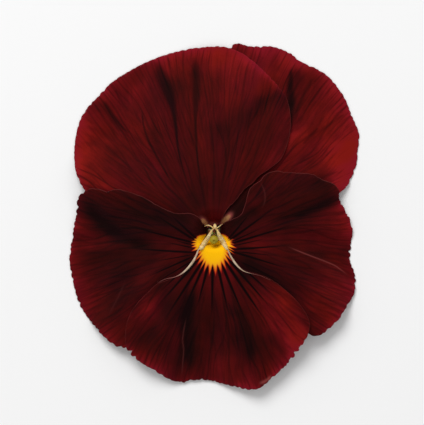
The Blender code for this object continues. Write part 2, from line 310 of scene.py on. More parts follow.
# %% Outlines in millimetres
OUTLINES = {
    "upper_right_petal": (
        ((0.6, -1.6), (0.7, 0.4), (0.9, 4), (0.6, 11), (0.2, 20), (0.6, 28.6), (2, 34.6)),
        (
            (4.8, 37.6), (7.4, 37.1), (10, 37), (12.7, 37), (16.5, 35.7), (19, 33.7), (22.8, 32),
            (25.6, 29.9), (28.3, 26.4), (30.2, 22), (31.8, 17.8), (31.5, 14.2), (31, 10.6),
        ),
        ((28.6, 6.1), (22, 2.2), (13, -0.6), (6, -2.2), (3.4, -2.4), (1.6, -2.6)),
    ),
    "upper_left_petal": (
        ((-1.9, -2.9), (-2.9, -2.2), (-4.5, -1.9), (-11, -1.6), (-20, 0.2), (-26.8, 4)),
        (
            (-29.9, 8.8), (-30.6, 14.3), (-29.6, 20.2), (-27.8, 23.5), (-25.6, 25.9), (-23, 28.6),
            (-20.3, 30.6), (-14, 33.9), (-7.2, 36.1), (0, 37), (4, 36.4), (7.6, 34.4), (12.2, 30.1),
        ),
        (
            (15.5, 26), (16.6, 21.6), (16.5, 17.5), (15, 12.7), (12.2, 10.1), (10, 8.6), (8.4, 6.9),
            (6.7, 5.6), (4.8, 3.2), (2.8, 1.1), (1.6, -1.1), (0.9, -2.2),
        ),
    ),
    "left_lateral_petal": (
        (
            (-1.7, -4.4), (-2.4, -5.6), (-3.1, -7.2), (-3.9, -9.5), (-6.4, -15.4), (-10.8, -22),
            (-15.2, -26.4),
        ),
        (
            (-19.5, -28.9), (-22.5, -28), (-26.2, -24.4), (-29.3, -20.1), (-30.6, -16.1), (-31.6, -11.4),
            (-31.6, -8.4), (-30.9, -4), (-30.5, -1.3), (-30, 1.6), (-29.7, 3.8),
        ),
        (
            (-27.4, 5.3), (-25.4, 5.3), (-23.4, 4.7), (-22.2, 5.3), (-20, 5.3), (-15.4, 3.9), (-12.3, 2.1),
            (-8.6, 0.5), (-5.2, 0.4), (-3.2, -0.6), (-2.4, -1.9), (-1.5, -2.5),
        ),
    ),
    "right_lateral_petal": (
        (
            (1.5, -2.5), (2.4, -1.6), (4.2, -0.8), (5.9, 0.2), (6.8, 2.5), (7.6, 5.3), (8.6, 6.6),
            (10, 7.5), (11.4, 9), (13.6, 9.7), (15.4, 9.5), (18.5, 9.2), (21.6, 8.8), (23.8, 7.5),
            (26.2, 6.5), (27.3, 5.1),
        ),
        (
            (27.4, 3.4), (28.7, 0.9), (30.3, -2.4), (30, -7.4), (29.9, -10.5), (31, -13.6), (30.8, -16.9),
            (29.3, -19.7), (27.2, -22.8),
        ),
        (
            (24.3, -25.5), (22.4, -26.3), (20.5, -25.5), (17.6, -23), (11.8, -17.8), (6.2, -12.7),
            (3.4, -9.4), (2.3, -7.2), (1.8, -5.7), (1.3, -4.6),
        ),
    ),
    "lower_petal": (
        (
            (1.2, -4.7), (2.6, -6.2), (3.1, -7.7), (4.6, -10), (6.8, -12), (9.4, -12.8), (12.4, -14),
            (15.4, -16.2), (18.5, -19.3), (20.5, -22.8), (20.6, -25.4), (19.3, -28),
        ),
        (
            (17.4, -31), (15.3, -33.2), (12.9, -35.4), (10.3, -37.6), (8.4, -38.2), (6.2, -38),
            (1.9, -37.1), (-3.1, -36.2), (-7.4, -36.8), (-10.1, -35.8), (-12.7, -34.2), (-17.2, -31.3),
        ),
        (
            (-19, -28.9), (-19.1, -25), (-18.3, -21.9), (-16.6, -19.1), (-14.3, -16.7), (-12.3, -15),
            (-8.4, -13.4), (-5.5, -11), (-3.8, -7.9), (-2.8, -6.2), (-1.2, -4.7),
        ),
    ),
}
LAYER = 0.62
COLUMNS = 240
ROWS = 190
ROW_CROWDING = 1.25
OUTLINE_STEPS = 24
print("outline points:", {name: sum(len(side) for side in sides) for name, sides in OUTLINES.items()})


# %% Teeth for a margin
TOOTH_DEPTHS = {
    "upper_right_petal": 0.38,
    "upper_left_petal": 0.34,
    "left_lateral_petal": 0.6,
    "right_lateral_petal": 0.62,
    "lower_petal": 0.72,
}
SIDE_TOOTH_DEPTH = 0.12
PROUD = 0.47
TOOTH_BLUR = 0.2
TOOTH_REACH = 2.6
# The spacing of each row of notches and its share of their depth
NOTCHES = ((2.3, 0.45), (1.35, 0.55), (0.8, 0.2))
WOBBLE_LENGTHS = (1.7, 3.1, 6.3)
FULL_TURN = 6.28


def toothed(line, first, second, depth, seed):
    """The outline, a little proud at its far edge, and how far small notches move each of its points."""
    rng = np.random.default_rng(seed)
    along = lengths_along(line)
    after_first, before_second = along - along[first], along[second] - along
    on_far_edge = ease(after_first / 4 + 0.5) * ease(before_second / 4 + 0.5)
    notches = np.zeros_like(along)
    for spacing, share in NOTCHES:
        wobble = 0
        for length in WOBBLE_LENGTHS:
            amount = rng.uniform(0.4, 0.9)
            wobble = wobble + amount * np.sin(along / length + rng.uniform(0, FULL_TURN))
        slow = np.sin(along / 2.9 + rng.uniform(0, FULL_TURN))
        quick = np.sin(along / 1.7 + rng.uniform(0, FULL_TURN))
        crests = 1 - np.abs(np.sin(math.pi * along / spacing + wobble))
        notches += share * (0.5 + 0.5 * slow * quick) * crests**2
    from_corner = np.minimum(np.abs(after_first), np.abs(before_second))
    calm = ease(from_corner / 0.8) * (1 + 0.7 * np.exp(-((from_corner / 5) ** 2)))
    calm = calm * ease(np.minimum(along, along[-1] - along) / 4)
    inset = (SIDE_TOOTH_DEPTH + (depth - SIDE_TOOTH_DEPTH) * on_far_edge) * 1.6 * notches * calm
    outset = PROUD * ease(after_first / 14 + 1) * ease(before_second / 14 + 1)
    tangent = np.gradient(line, axis=0)
    tangent /= np.linalg.norm(tangent, axis=1)[:, None]
    inward = np.stack([tangent[:, 1], -tangent[:, 0]], axis=1)
    return np.hstack((line - inward * outset[:, None], inward * inset[:, None]))


# %% How the layers lie on each other
def petal_lift(name, x, y):
    """How far a petal lies above the common form, in millimetres."""
    out_of_claw = ease((axis_distance(x, y) - 1.6) / 1.6)
    over_upper_right = ease((x + 9.0) / 7.0)
    over_upper_petals = ease((y + 6.5) / 4.0)
    if name == "upper_left_petal":
        return LAYER * over_upper_right * out_of_claw
    if name == "left_lateral_petal":
        return LAYER * (1.0 + over_upper_right) * over_upper_petals * out_of_claw
    if name == "right_lateral_petal":
        over_both = 1.0 - ease((np.hypot(x - 9.0, y - 6.5) - 3.0) / 4.0)
        return LAYER * (1.0 + over_both) * over_upper_petals * out_of_claw
    if name == "lower_petal":
        over_laterals = ease((axis_distance(x, y) - 3.0) / 1.5)
        lies_down = 1.0 - ease((-y - 29.0) / 4.5)
        return LAYER * over_laterals * lies_down
    return np.zeros_like(x)


# %% [markdown]
# ## Petal sheets
# `bmesh.ops.create_grid` makes an even grid, and every grid point then moves to its place in the
# patch. A point between the sides is the mean of its row and its column, less what both count
# twice. That is a Coons patch, and unlike a fan of straight lines it never folds over
# a bulging side. Lifting the points straight up, by more where the form is steep, keeps the outline
# exact seen from above.

# %% Build one petal sheet
RELAXING_PASSES = 60
SLOPE_STEP = 0.05
MOST_LIFT = 2.0


def relaxed(flat):
    """Evens out the outer half of the patch, so that no square of it folds over near a corner."""
    outer = ease((np.linspace(0, 1, ROWS + 1) - 0.45) / 0.2)[1:-1, None, None]
    for _ in range(RELAXING_PASSES):
        mean = (flat[:-2, 1:-1] + flat[2:, 1:-1] + flat[1:-1, :-2] + flat[1:-1, 2:]) / 4
        flat[1:-1, 1:-1] += outer * (mean - flat[1:-1, 1:-1])
    return flat


def with_teeth(flat, left, right, far):
    """Moves the margin into its teeth, less and less inwards, and measures the distance to each side."""
    margin = np.vstack((left, right, far))
    ends = np.cumsum([len(left), len(right)])
    moved, distances = [], []
    for row in flat:
        away = np.hypot(*(row[:, None] - margin[None, :, :2]).transpose(2, 0, 1))
        nearest = away.min(axis=1)[:, None]
        weight = np.exp((nearest**2 - away**2) / TOOTH_BLUR**2)
        shift = weight @ margin[:, 2:] / weight.sum(axis=1)[:, None]
        moved.append(row + shift * ease(1 - nearest / TOOTH_REACH))
        distances.append([side.min(axis=1) for side in np.split(away, ends, axis=1)])
    return np.array(moved), *np.array(distances).transpose(1, 0, 2)


def petal_points(name, seed):
    """The patch's points seen from above, and each point's distance from the three sides of its margin."""
    side_out, far_edge, side_back = OUTLINES[name]
    line = smooth_line([*side_out, *far_edge, *side_back], OUTLINE_STEPS)
    first = (len(side_out) - 1) * OUTLINE_STEPS
    second = (len(side_out) + len(far_edge)) * OUTLINE_STEPS
    line = toothed(line, first, second, TOOTH_DEPTHS[name], seed)
    rows = np.linspace(0, 1, ROWS + 1) ** ROW_CROWDING
    columns = np.linspace(0, 1, COLUMNS + 1)
    left = spaced(line[: first + 1], rows)
    far = spaced(line[first : second + 1], columns)
    right = spaced(line[second:][::-1], rows)
    u = columns[None, :, None]
    v = rows[:, None, None]
    sides = left[:, None, :2] * (1 - u) + right[:, None, :2] * u
    straight = far[0, :2] * (1 - u) + far[-1, :2] * u
    flat = relaxed(sides + (far[None, :, :2] - straight) * v)
    return with_teeth(flat, left, right, far)


def petal_sheet(name, seed):
    """A petal's open sheet as a mesh, and what is known about each of its vertices."""
    flat, to_left, to_right, to_far = petal_points(name, seed)
    sheet = bmesh.new()
    bmesh.ops.create_grid(sheet, x_segments=COLUMNS, y_segments=ROWS, size=1.0, calc_uvs=False)
    mesh = as_mesh(sheet, name)
    corners = np.empty(len(mesh.vertices) * 3)
    mesh.vertices.foreach_get("co", corners)
    corners = corners.reshape(-1, 3)
    column = np.rint((corners[:, 0] + 1) / 2 * COLUMNS).astype(int)
    row = np.rint((corners[:, 1] + 1) / 2 * ROWS).astype(int)
    x, y = flat[row, column].T
    slope = np.hypot(
        (common_height(x + SLOPE_STEP, y) - common_height(x - SLOPE_STEP, y)) / (2 * SLOPE_STEP),
        (common_height(x, y + SLOPE_STEP) - common_height(x, y - SLOPE_STEP)) / (2 * SLOPE_STEP),
    )
    z = common_height(x, y) + petal_lift(name, x, y) * np.minimum(np.sqrt(1 + slope**2), MOST_LIFT)
    known = {
        "x": x,
        "y": y,
        "z": z,
        "left": to_left[row, column],
        "right": to_right[row, column],
        "far": to_far[row, column],
    }
    return mesh, known


print("each petal has", COLUMNS * ROWS, "quads before it gets its thickness")

# %% [markdown]
# ## What is painted on the petals
# A pansy's colour is drawn on the petal itself, so it is stored on the mesh as attributes and read by one
# velvet material. `tone` runs from near black to bright red; beside the petal's own colour it holds painted
# shade along folds and beside overlapping margins, and painted light along the thin far margin. `black`
# holds the bold whiskers that point into the throat, `yellow` is the patch round them, and `pale` marks thin
# margins and creases. Every mark is placed in millimetres on the petal.

# %% Tools for the markings
THROAT = (0.0, -5.5)
FACING = {
    "upper_right_petal": ((0, 1), (1, 0)),
    "upper_left_petal": ((0, 1), (1, 0)),
    "left_lateral_petal": ((-1, 0), (0, 1)),
    "right_lateral_petal": ((1, 0), (0, 1)),
    "lower_petal": ((0, -1), (1, 0)),
}


def throat_polar(name, x, y):
    """Distance from the throat and the angle in degrees from the petal's own direction."""
    out, side = FACING[name]
    dx, dy = x - THROAT[0], y - THROAT[1]
    ahead = dx * out[0] + dy * out[1]
    aside = dx * side[0] + dy * side[1]
    return np.hypot(dx, dy), np.degrees(np.arctan2(aside, ahead))


def whisker(radius, angle, starts, tends, begin, end, width):
    """One whisker: it starts at an angle beside the throat and tends to another further out."""
    course = tends + (starts - tends) * begin / np.maximum(radius, 0.5)
    aside = radius * np.sin(np.radians(angle - course))
    share = (radius - begin) / (end - begin)
    half = width * (0.35 + 0.65 * ease((share + 0.06) / 0.2)) * (1.0 - 0.72 * ease(share))
    line = 1.0 - ease((np.abs(aside) - half * 0.55) / (half * 0.9))
    return line * ease((share + 0.05) / 0.08) * (1.0 - ease((share - 0.55) / 0.45))


# Each whisker: the angle where it starts, the angle that it tends to, where it begins and ends,
# and its half width
WHISKERS = {
    "left_lateral_petal": (
        (6, 44, 3.9, 12, 0.3), (0, 33, 4.1, 15.5, 0.3), (-7, 14, 4.4, 20, 0.27), (-14, 16, 4.6, 9.5, 0.16),
        (-21, 13, 4.7, 11.5, 0.17), (-31, 4, 5.1, 20.5, 0.27), (-32, -10, 6.1, 15, 0.13),
        (-37, -24, 6.2, 18.5, 0.22), (-43, -31, 6.8, 17.5, 0.16),
    ),
    "right_lateral_petal": (
        (5, 52, 3.1, 10.5, 0.27), (0, 36, 3.3, 15.5, 0.3), (-5, 25, 3.8, 12, 0.17),
        (-9, 17, 4.1, 19.5, 0.28), (-14, 13, 4.7, 12.5, 0.14), (-24, 4, 4.8, 17.5, 0.28),
        (-25, -6, 6, 15.5, 0.14), (-31, -17, 4.9, 20, 0.27), (-38, -26, 8, 19.5, 0.18),
    ),
    "lower_petal": (
        (-56, -54, 5, 15.5, 0.26), (-47, -46, 4.9, 17.5, 0.3), (-39, -41, 5.1, 20, 0.32),
        (-29, -33, 5.3, 22, 0.36), (-22, -24, 5.6, 18.5, 0.34), (-13, -15, 5.8, 16, 0.32),
        (-3, -1, 5.6, 18.5, 0.34), (8, 13, 5.8, 18.5, 0.34), (18, 23, 5.7, 20.5, 0.35),
        (28, 34, 5.3, 24, 0.36), (37, 41, 5, 21.5, 0.32), (45, 48, 4.9, 19, 0.28), (54, 56, 5, 16, 0.24),
    ),
}
print("whiskers:", {name: len(lines) for name, lines in WHISKERS.items()})

# %% Bands, patches and creases
# How tone changes from the claw to the far edge, and how much brighter the margin is: painted light that
# shines through the thin edge
TONES = {
    "upper_right_petal": (0.35, 0.8, 0.28),
    "upper_left_petal": (0.4, 0.66, 0.44),
    "left_lateral_petal": (0.31, 0.43, 0.4),
    "right_lateral_petal": (0.38, 0.52, 0.36),
    "lower_petal": (0.55, 0.5, 0.44),
}
# Each soft patch: its centre, its radius and what it adds to the tone. Most give the petal's own lighter and
# darker parts; the dark ones in gaps between petals and beside another petal's margin are painted shade
TONE_AND_SHADE_PATCHES = {
    "upper_right_petal": (
        (30, 12, 5, 0.26), (28, 6, 3.5, 0.2), (10.5, 34.5, 3, -0.03), (16.5, 34, 2.5, 0.12),
        (20.5, 30, 3.5, -0.12), (24, 8, 3, -0.12), (18, 8, 3.2, -0.08), (21, 10.5, 4.5, -0.1),
        (16.5, 23, 2.2, -0.14), (16.8, 17, 2.6, 0.2), (22, 20, 4, 0.04), (25.5, 14, 4, 0.08),
        # painted shade in the gap between the upper left and the right side petals
        (5, 2, 4.5, -0.22),
    ),
    "upper_left_petal": (
        (-28, 14.5, 4.5, 0.22), (-28.5, 9, 2.5, -0.1), (-25.5, 21, 3, 0.1), (-26, 24.5, 2.5, -0.18),
        (-24, 5.5, 4, 0.1), (2, 34.5, 4.5, 0.15), (6, 32, 3.5, 0.1), (4, 26, 3, 0.08),
        (-7.8, 28.5, 2.8, -0.16), (-17.5, 27.5, 3.6, 0.16), (-19.5, 18, 3, 0.1), (-13.5, 20.5, 2.5, 0.12),
        (-18.5, 12, 4, -0.08), (-6.5, 3, 3.5, -0.1), (13, 11.5, 2.8, 0.2), (8, 21, 4.5, -0.12),
        (7.5, 15.5, 4, -0.08), (1, 18.5, 2.4, -0.18), (2.5, 13.5, 2.5, -0.08), (15, 26, 2.6, -0.34),
        (0, -1.2, 2.4, 0.48), (-17.5, 31.5, 2.6, -0.2), (-10.5, 31.5, 2, 0.08),
    ),
    "left_lateral_petal": (
        (-8.5, -8.2, 4.2, 0.24), (-14.5, -15, 3, 0.22), (-29.5, -3, 2.6, 0.12), (-30.5, -11.5, 3, 0.16),
        (-26, -7, 3, 0.08), (-28, -18, 4, 0.28), (-22.5, -25.5, 3.6, 0.22), (-17.5, -21.5, 3, 0.26),
        (-21, -16.5, 3.5, -0.06), (-23, -1.5, 3.5, -0.12), (-15.5, -2.6, 4.5, -0.1), (-27.5, 2, 2.6, -0.14),
        (-15, 2, 2.5, -0.1), (-22.5, 4, 2.5, 0.08), (-4.5, -1.4, 2.6, -0.02), (-20, -12, 2.5, -0.12),
        # painted shadow beside the lower petal's turned-up margin
        (-5.5, -10.8, 1.6, -0.2),
    ),
    "right_lateral_petal": (
        (8.5, -7.6, 4, 0.24), (28.5, -1.5, 3, 0.26), (30, -16, 3.2, 0.16), (25, -16, 4, 0.24),
        (26, -21.5, 4, 0.18), (20, -20.5, 3, 0.24), (23, -4.5, 5, 0.18), (14, -5, 4, 0.12),
        (19.5, 4.2, 3.4, -0.06), (24, 6.6, 2.4, -0.24), (12.5, 4, 1.6, 0.12), (22, -8.4, 2.4, -0.1),
        (29, -8.8, 2, -0.14), (11, 4.5, 2, -0.14), (8.8, 3.4, 1.4, 0.06), (3.6, -2.4, 2.6, -0.1),
        # painted shadow beside the lower petal's turned-up margin
        (7.4, -10.6, 2.4, -0.34),
    ),
    "lower_petal": (
        (0.5, -34, 5, 0.05), (14.5, -19.5, 5, 0.42), (18.5, -26, 3.8, 0.4), (15.5, -30.5, 3.5, 0.16),
        (13, -25, 2.4, 0.12), (-14, -20.6, 3.4, 0.28), (-10.5, -16, 3.2, -0.14), (-9.5, -21, 2.6, -0.18),
        (-15.5, -27.5, 2.6, -0.14), (-14, -32, 2.6, 0.2), (-3.6, -12.6, 2.2, 0.16), (3.4, -12.8, 2.2, 0.16),
        (0, -15, 3.5, 0.14), (0, -24, 6, -0.06), (-7.2, -27, 2.2, 0.16), (1, -32.5, 3.5, 0.18),
        (7.4, -36.5, 3, 0.16), (9.6, -28.5, 2.6, -0.16), (4.8, -27.5, 2.2, -0.14), (4, -21, 1.8, -0.14),
        (-6.2, -12, 1.5, -0.4), (6.8, -13, 1.6, -0.36),
    ),
}
# Each soft band is painted shade, mostly along a fold: the points of its line, its half width and what it
# adds to the tone
SHADE_BANDS = {
    "upper_right_petal": (
        (((18.8, 33.5), (17.8, 28), (16.9, 22)), 1.6, -0.2),
        (((27.5, 27), (24.5, 23), (20, 17)), 1, -0.1),
    ),
    "upper_left_petal": (
        (((-24.8, 25.6), (-22.5, 21.5), (-18, 16)), 0.9, -0.12),
        (((14.5, 27), (9.5, 24.5), (4, 20), (1, 14)), 1.6, -0.1),
        (((-28.8, 16.5), (-25, 15.5), (-20, 12.5)), 0.9, -0.14),
        (((-14, 24), (-12, 14), (-6.5, 4)), 0.9, -0.16),
        (((-2.2, 1), (-4, 3), (-6, 5.5)), 0.9, -0.1),
    ),
    "left_lateral_petal": (
        (((-29.5, 2.8), (-24.5, -1.6), (-20.5, -4.4), (-13, -7.2)), 1.7, -0.24),
        (((-30, -9), (-26, -9), (-18, -8.4)), 1.1, -0.14),
        (((-24, -27.5), (-20, -23), (-14, -16.5)), 1, -0.06),
        (((-4.5, -2.2), (-9, -0.6), (-14, 1.4)), 1.6, -0.16),
    ),
    "right_lateral_petal": (
        (((29, 4.6), (22, 1.4), (17, -0.6), (12, -2.4)), 1.5, -0.24),
        # This band is the painted shadow that the lower petal's raised margin casts on this petal.
        (((5, -9.5), (12, -13.5), (18, -19.5), (22.5, -25)), 1.5, -0.28),
        (((3, -2.4), (6.5, -0.4), (10, 1.8)), 1.3, -0.16),
        (((12, -5.6), (20, -8.4), (28, -9)), 1.1, -0.14),
    ),
    "lower_petal": (
        (((-4.2, -15), (-6, -22), (-6.4, -29), (-5.8, -35)), 1.6, -0.34),
        (((5, -19), (7.4, -26), (8.4, -33)), 1.4, -0.18),
        (((-9, -17), (-12.5, -23.5), (-14.5, -29)), 1.4, -0.14),
        (((12, -25), (14.5, -28.5), (15.6, -32)), 1.2, -0.14),
    ),
}
# Each fold's shade: its line with half widths, and what it adds to the tone
SHADED_FOLDS = {
    "upper_right_petal": (
        (((17.2, 33, 0.2), (16.9, 29, 0.7), (17, 25, 0.9), (17, 20.5, 0.4), (16.9, 17.5, 0.2)), -0.36),
        (((22.5, 31, 0.2), (20.5, 28, 0.5), (18.8, 24, 0.5), (17.4, 20, 0.3)), -0.14),
        (((23.2, 19.5, 0.2), (21.5, 17.5, 0.35), (19.4, 15.4, 0.2)), -0.18),
        (((29, 22.5, 0.2), (25.5, 20, 0.4), (21.5, 17.5, 0.2)), -0.1),
        (((28.5, 9.8, 0.2), (24, 8.6, 0.4), (18.5, 7, 0.3)), -0.08),
    ),
    "upper_left_petal": (
        (
            (
                (-12.9, 34.6, 0.3), (-11.6, 31, 1.1), (-10, 27, 1.3), (-9, 23.5, 0.6), (-8.4, 19.5, 0.32),
                (-8, 15.5, 0.22), (-7.2, 11.5, 0.18), (-5.8, 7, 0.12),
            ),
            -0.4,
        ),
        (
            (
                (-4.4, 35.4, 0.5), (-3.9, 31, 1.1), (-3.9, 26.5, 0.9), (-4.1, 21.5, 0.34), (-3.9, 17, 0.26),
                (-3.6, 12, 0.18), (-2.9, 7, 0.12),
            ),
            -0.34,
        ),
        (
            (
                (-16, 23.6, 0.12), (-15.5, 19.6, 0.18), (-14.4, 16.4, 0.26), (-13.2, 14, 0.26),
                (-11.2, 10.4, 0.2), (-8.6, 6.2, 0.12),
            ),
            -0.34,
        ),
        (((-24.6, 25.4, 0.5), (-22.8, 22.6, 0.5), (-20.6, 19.8, 0.25), (-18.4, 17.6, 0.15)), -0.22),
        (((-22, 28, 0.2), (-20.6, 25.2, 0.22), (-18.6, 22.6, 0.15)), -0.18),
        (((-28.6, 19.8, 0.3), (-25, 18.2, 0.9), (-20.6, 15.8, 0.4)), -0.1),
        (((-17.6, 12.6, 0.12), (-14, 10, 0.2), (-10.4, 6.6, 0.15)), -0.14),
        (((13.6, 27, 0.6), (10.5, 24, 1.6), (7.6, 21, 1.6), (4.6, 18, 0.8)), -0.1),
    ),
    "left_lateral_petal": (
        (
            ((-29, 2.4, 0.8), (-25, -1.6, 1.3), (-21, -4.6, 1.3), (-16.8, -6.6, 0.8), (-12, -7.4, 0.4)),
            -0.11,
        ),
    ),
    "right_lateral_petal": (
        (((28.4, 4.2, 0.9), (25, 2.6, 1.2), (21.4, 0.9, 0.9), (17, -0.8, 0.4)), -0.22),
    ),
    "lower_petal": (
        (((-4, -16, 0.5), (-5.4, -20.5, 1.4), (-5.4, -26, 1.9), (-4.8, -31, 1.4), (-5, -35, 0.5)), -0.15),
        (((5.2, -20, 0.3), (6.8, -25, 0.9), (8, -29.5, 1.1), (8.6, -33, 0.4)), -0.12),
    ),
}
# Each crease: the points of its line, its half width and how pale it is. 0.5 is pink and 1 is cream
CREASES = {
    "right_lateral_petal": (
        (((15.8, -6.8), (20, -8.5), (25.2, -10.5), (27.4, -11.6), (30.2, -13.8)), 0.11, 0.3),
        (((10, 7.4), (11, 5.2), (11.1, 3), (10.3, 1.2)), 0.14, 0.06),
    ),
    "lower_petal": (
        (((-6, -22), (-6.9, -27), (-6.7, -30), (-7.2, -36.4)), 0.11, 0.13),
        (((9.8, -37.2), (11.4, -36.6), (12.8, -35.4)), 0.3, 0.4),
    ),
    "left_lateral_petal": ((((-19.4, -14.4), (-21.2, -18.2), (-23.4, -22.4)), 0.16, 0.035),),
}
# How pale the thin margins are
RIMS = {
    "upper_right_petal": {"far": 0.05},
    "upper_left_petal": {"far": 0.06, "right": 0.16},
    "left_lateral_petal": {"far": 0.06, "right": 0.24},
    "right_lateral_petal": {"far": 0.06, "left": 0.24},
    "lower_petal": {"far": 0.04, "left": 0.1, "right": 0.1},
}


# %% [markdown]
# Veins leave the claw side by side and fork again and again on their way to the margin. A vein is
# kept as an angle that changes with the distance from the throat, so its shoots only have to know
# where they begin and how far they spread.

# %% Forking veins
# The angles that a petal covers, how many veins leave its claw and how dark they are
VEINS = {
    "upper_right_petal": ((-8, 82), 12, 0.15),
    "upper_left_petal": ((-80, 42), 16, 0.15),
    "left_lateral_petal": ((-62, 62), 12, 0.18),
    "right_lateral_petal": ((-62, 62), 12, 0.18),
    "lower_petal": ((-78, 78), 15, 0.15),
}
FORK_CHANCE = 0.86
SHOOT_SHARE = 0.62
SHOOT_LENGTH = 8.0
LAST_FORK = 38
GENERATIONS = 4


def vein_darkness(name, radius, angle, seed):
    """How dark the veins make each place: they fork about every 7 mm."""
    (low, high), count, darkness = VEINS[name]
    rng = np.random.default_rng(seed + 100)
    dark = np.zeros_like(radius)
    wander = 1.1 * np.sin(radius / 3.3 + angle / 9.0 + seed)
    quiver = 0.5 * np.sin(radius / 1.3 - angle / 5.0)
    angle = angle + wander + quiver
    room = (high - low) / count
    shoots = [(low + room * (k + rng.uniform(0.3, 0.7)), 0.0, 2.5, room * 0.5, 0) for k in range(count)]
    while shoots:
        base, spread, begin, share, generation = shoots.pop()
        fork = begin + rng.uniform(5.0, 9.5)
        course = base + spread * ease((radius - begin) / SHOOT_LENGTH)
        aside = radius * np.sin(np.radians(angle - course))
        width = rng.uniform(0.15, 0.24)
        line = np.exp(-((aside / width) ** 2)) * ease((radius - begin + 0.5) / 1.5)
        line = line * ease((fork + 1.0 - radius) / 1.5)
        dark = np.maximum(dark, line * rng.uniform(0.6, 1.0) * 0.88**generation)
        if fork < LAST_FORK and generation < GENERATIONS:
            end = base + spread * float(ease((fork - begin) / SHOOT_LENGTH))
            for side in (-1, 1):
                if generation == 0 or rng.random() < FORK_CHANCE:
                    aside = side * share * rng.uniform(0.35, 0.75)
                    shoots.append((end, aside, fork, share * SHOOT_SHARE, generation + 1))
    return darkness * dark * (0.3 + 0.7 * ease((radius - 6.0) / 9.0))


# %% Paint one petal
TONE_REACH = 26.0
GLOW_WIDTH = 2.4
RIM_WIDTH = 0.18
# How wide each slow unevenness of the tone is, in degrees, and how strong
UNEVENNESS = ((9.0, 0.03), (4.2, 0.03), (2.1, 0.02))


def painted(name, known, seed):
    """The attributes of a petal's vertices."""
    x, y = known["x"], known["y"]
    radius, angle = throat_polar(name, x, y)
    inner, outer, glow = TONES[name]
    rng = np.random.default_rng(seed)
    uneven = sum(
        amplitude * np.sin(angle / spread + rng.uniform(0, FULL_TURN) + 0.05 * radius)
        for spread, amplitude in UNEVENNESS
    )
    tone = inner + (outer - inner) * ease(radius / TONE_REACH)
    # The glow along the far edge is painted light shining through the thin margin.
    glow = glow * (0.85 + 0.35 * np.sin(angle / 5.0 + seed) * np.sin(angle / 3.1 + 2 * seed))
    tone = tone + glow * np.exp(-known["far"] / GLOW_WIDTH) + uneven * ease(radius / 12.0)
    for cx, cy, size, change in TONE_AND_SHADE_PATCHES[name]:
        tone = tone + change * np.exp(-((x - cx) ** 2 + (y - cy) ** 2) / size**2)
    for line, width, change in SHADE_BANDS[name]:
        tone = tone + change * soft_stroke(x, y, line, width)
    for stations, change in SHADED_FOLDS.get(name, ()):
        tone = tone + change * tapering_stroke(x, y, stations)
    tone = tone - vein_darkness(name, radius, angle, seed)
    black = np.zeros_like(x)
    for strokes in WHISKERS.get(name, ()):
        black = np.maximum(black, whisker(radius, angle, *strokes))
    pale = np.zeros_like(x)
    for line, width, strength in CREASES.get(name, ()):
        pale = np.maximum(pale, strength * soft_stroke(x, y, line, width))
    for side, strength in RIMS[name].items():
        thin = (0.8 + 0.2 * np.sin(radius * 1.7 + seed)) * (1 - ease(known[side] / RIM_WIDTH))
        pale = np.maximum(pale, strength * thin * ease((radius - 2.5) / 2.0))
    return tone, black, pale, radius, angle


# %% [markdown]
# The yellow patch ends in points between the whiskers, so its border is a distance from the throat
# that changes with the angle. The white claws of the upper petals and the white turned-up sides of
# the lower petal are pale too.

# %% The yellow patch and the pale claws
# Angle from the petal's own direction and how far the yellow reaches there
YELLOW_REACH = {
    "left_lateral_petal": (
        (-70, 2), (-45, 3.9), (-32, 4.2), (-15, 4.3), (0, 4.1), (14, 3.7), (25, 2.8), (43, 1.9), (60, 0.4),
    ),
    "right_lateral_petal": (
        (-70, 2), (-45, 3.4), (-32, 3.7), (-15, 3.7), (0, 3.4), (12, 3), (25, 2.5), (45, 1.8), (60, 0.4),
    ),
    "lower_petal": (
        (-80, 2.4), (-58, 3.4), (-42, 4.5), (-33, 4.9), (-23, 5.4), (-10, 5.9), (0, 6), (10, 5.9),
        (20, 5.3), (33, 4.7), (44, 4), (60, 3.2), (80, 2.4),
    ),
}
# How far the yellow runs on between two whiskers, and where its points end beside the outer ones
FRINGE_END = 12.0
FULL_POINT_GAP = 7.0
FRINGE = {"left_lateral_petal": 1.4, "right_lateral_petal": 1.9, "lower_petal": 2.2}
# Centre, direction in degrees, length, width and strength of the pale spots on a claw
CLAW_SPOTS = {
    "upper_left_petal": ((-2.1, -1.7, 128, 1.3, 0.74, 1.1), (-0.5, -1.9, 0, 1.5, 0.42, 0.42)),
    "upper_right_petal": ((2.6, -0.95, 46, 1.6, 0.72, 1.1),),
}


def yellow_patch(name, radius, angle, seed):
    """1 inside the yellow patch, falling to 0 through the points that it sends between the whiskers."""
    if name not in YELLOW_REACH:
        return np.zeros_like(radius)
    angles, reaches = zip(*YELLOW_REACH[name])
    starts = sorted(whisker_line[0] for whisker_line in WHISKERS[name])
    places, between = [starts[0] - FRINGE_END], [0.0]
    for low, high in zip(starts, starts[1:]):
        places += [low, (low + high) / 2]
        between += [0.0, min(1.0, (high - low) / FULL_POINT_GAP)]
    places += [starts[-1], starts[-1] + FRINGE_END]
    between += [0.0, 0.0]
    rng = np.random.default_rng(seed)
    ragged = 0.20 * np.abs(np.sin(np.radians(angle) * 31 + rng.uniform(0, 3.14)))
    points = np.interp(angle, places, between) ** 1.6 + ragged
    reach = np.interp(angle, angles, reaches) + FRINGE[name] * points
    deep = 1.0 - 0.30 * ease((radius - 1.0) / 6.0)
    border = 1.2 + 2.4 * points if name == "lower_petal" else 0.6 + 1.4 * points
    return np.clip((reach - radius) / border, 0.0, 1.0) * deep


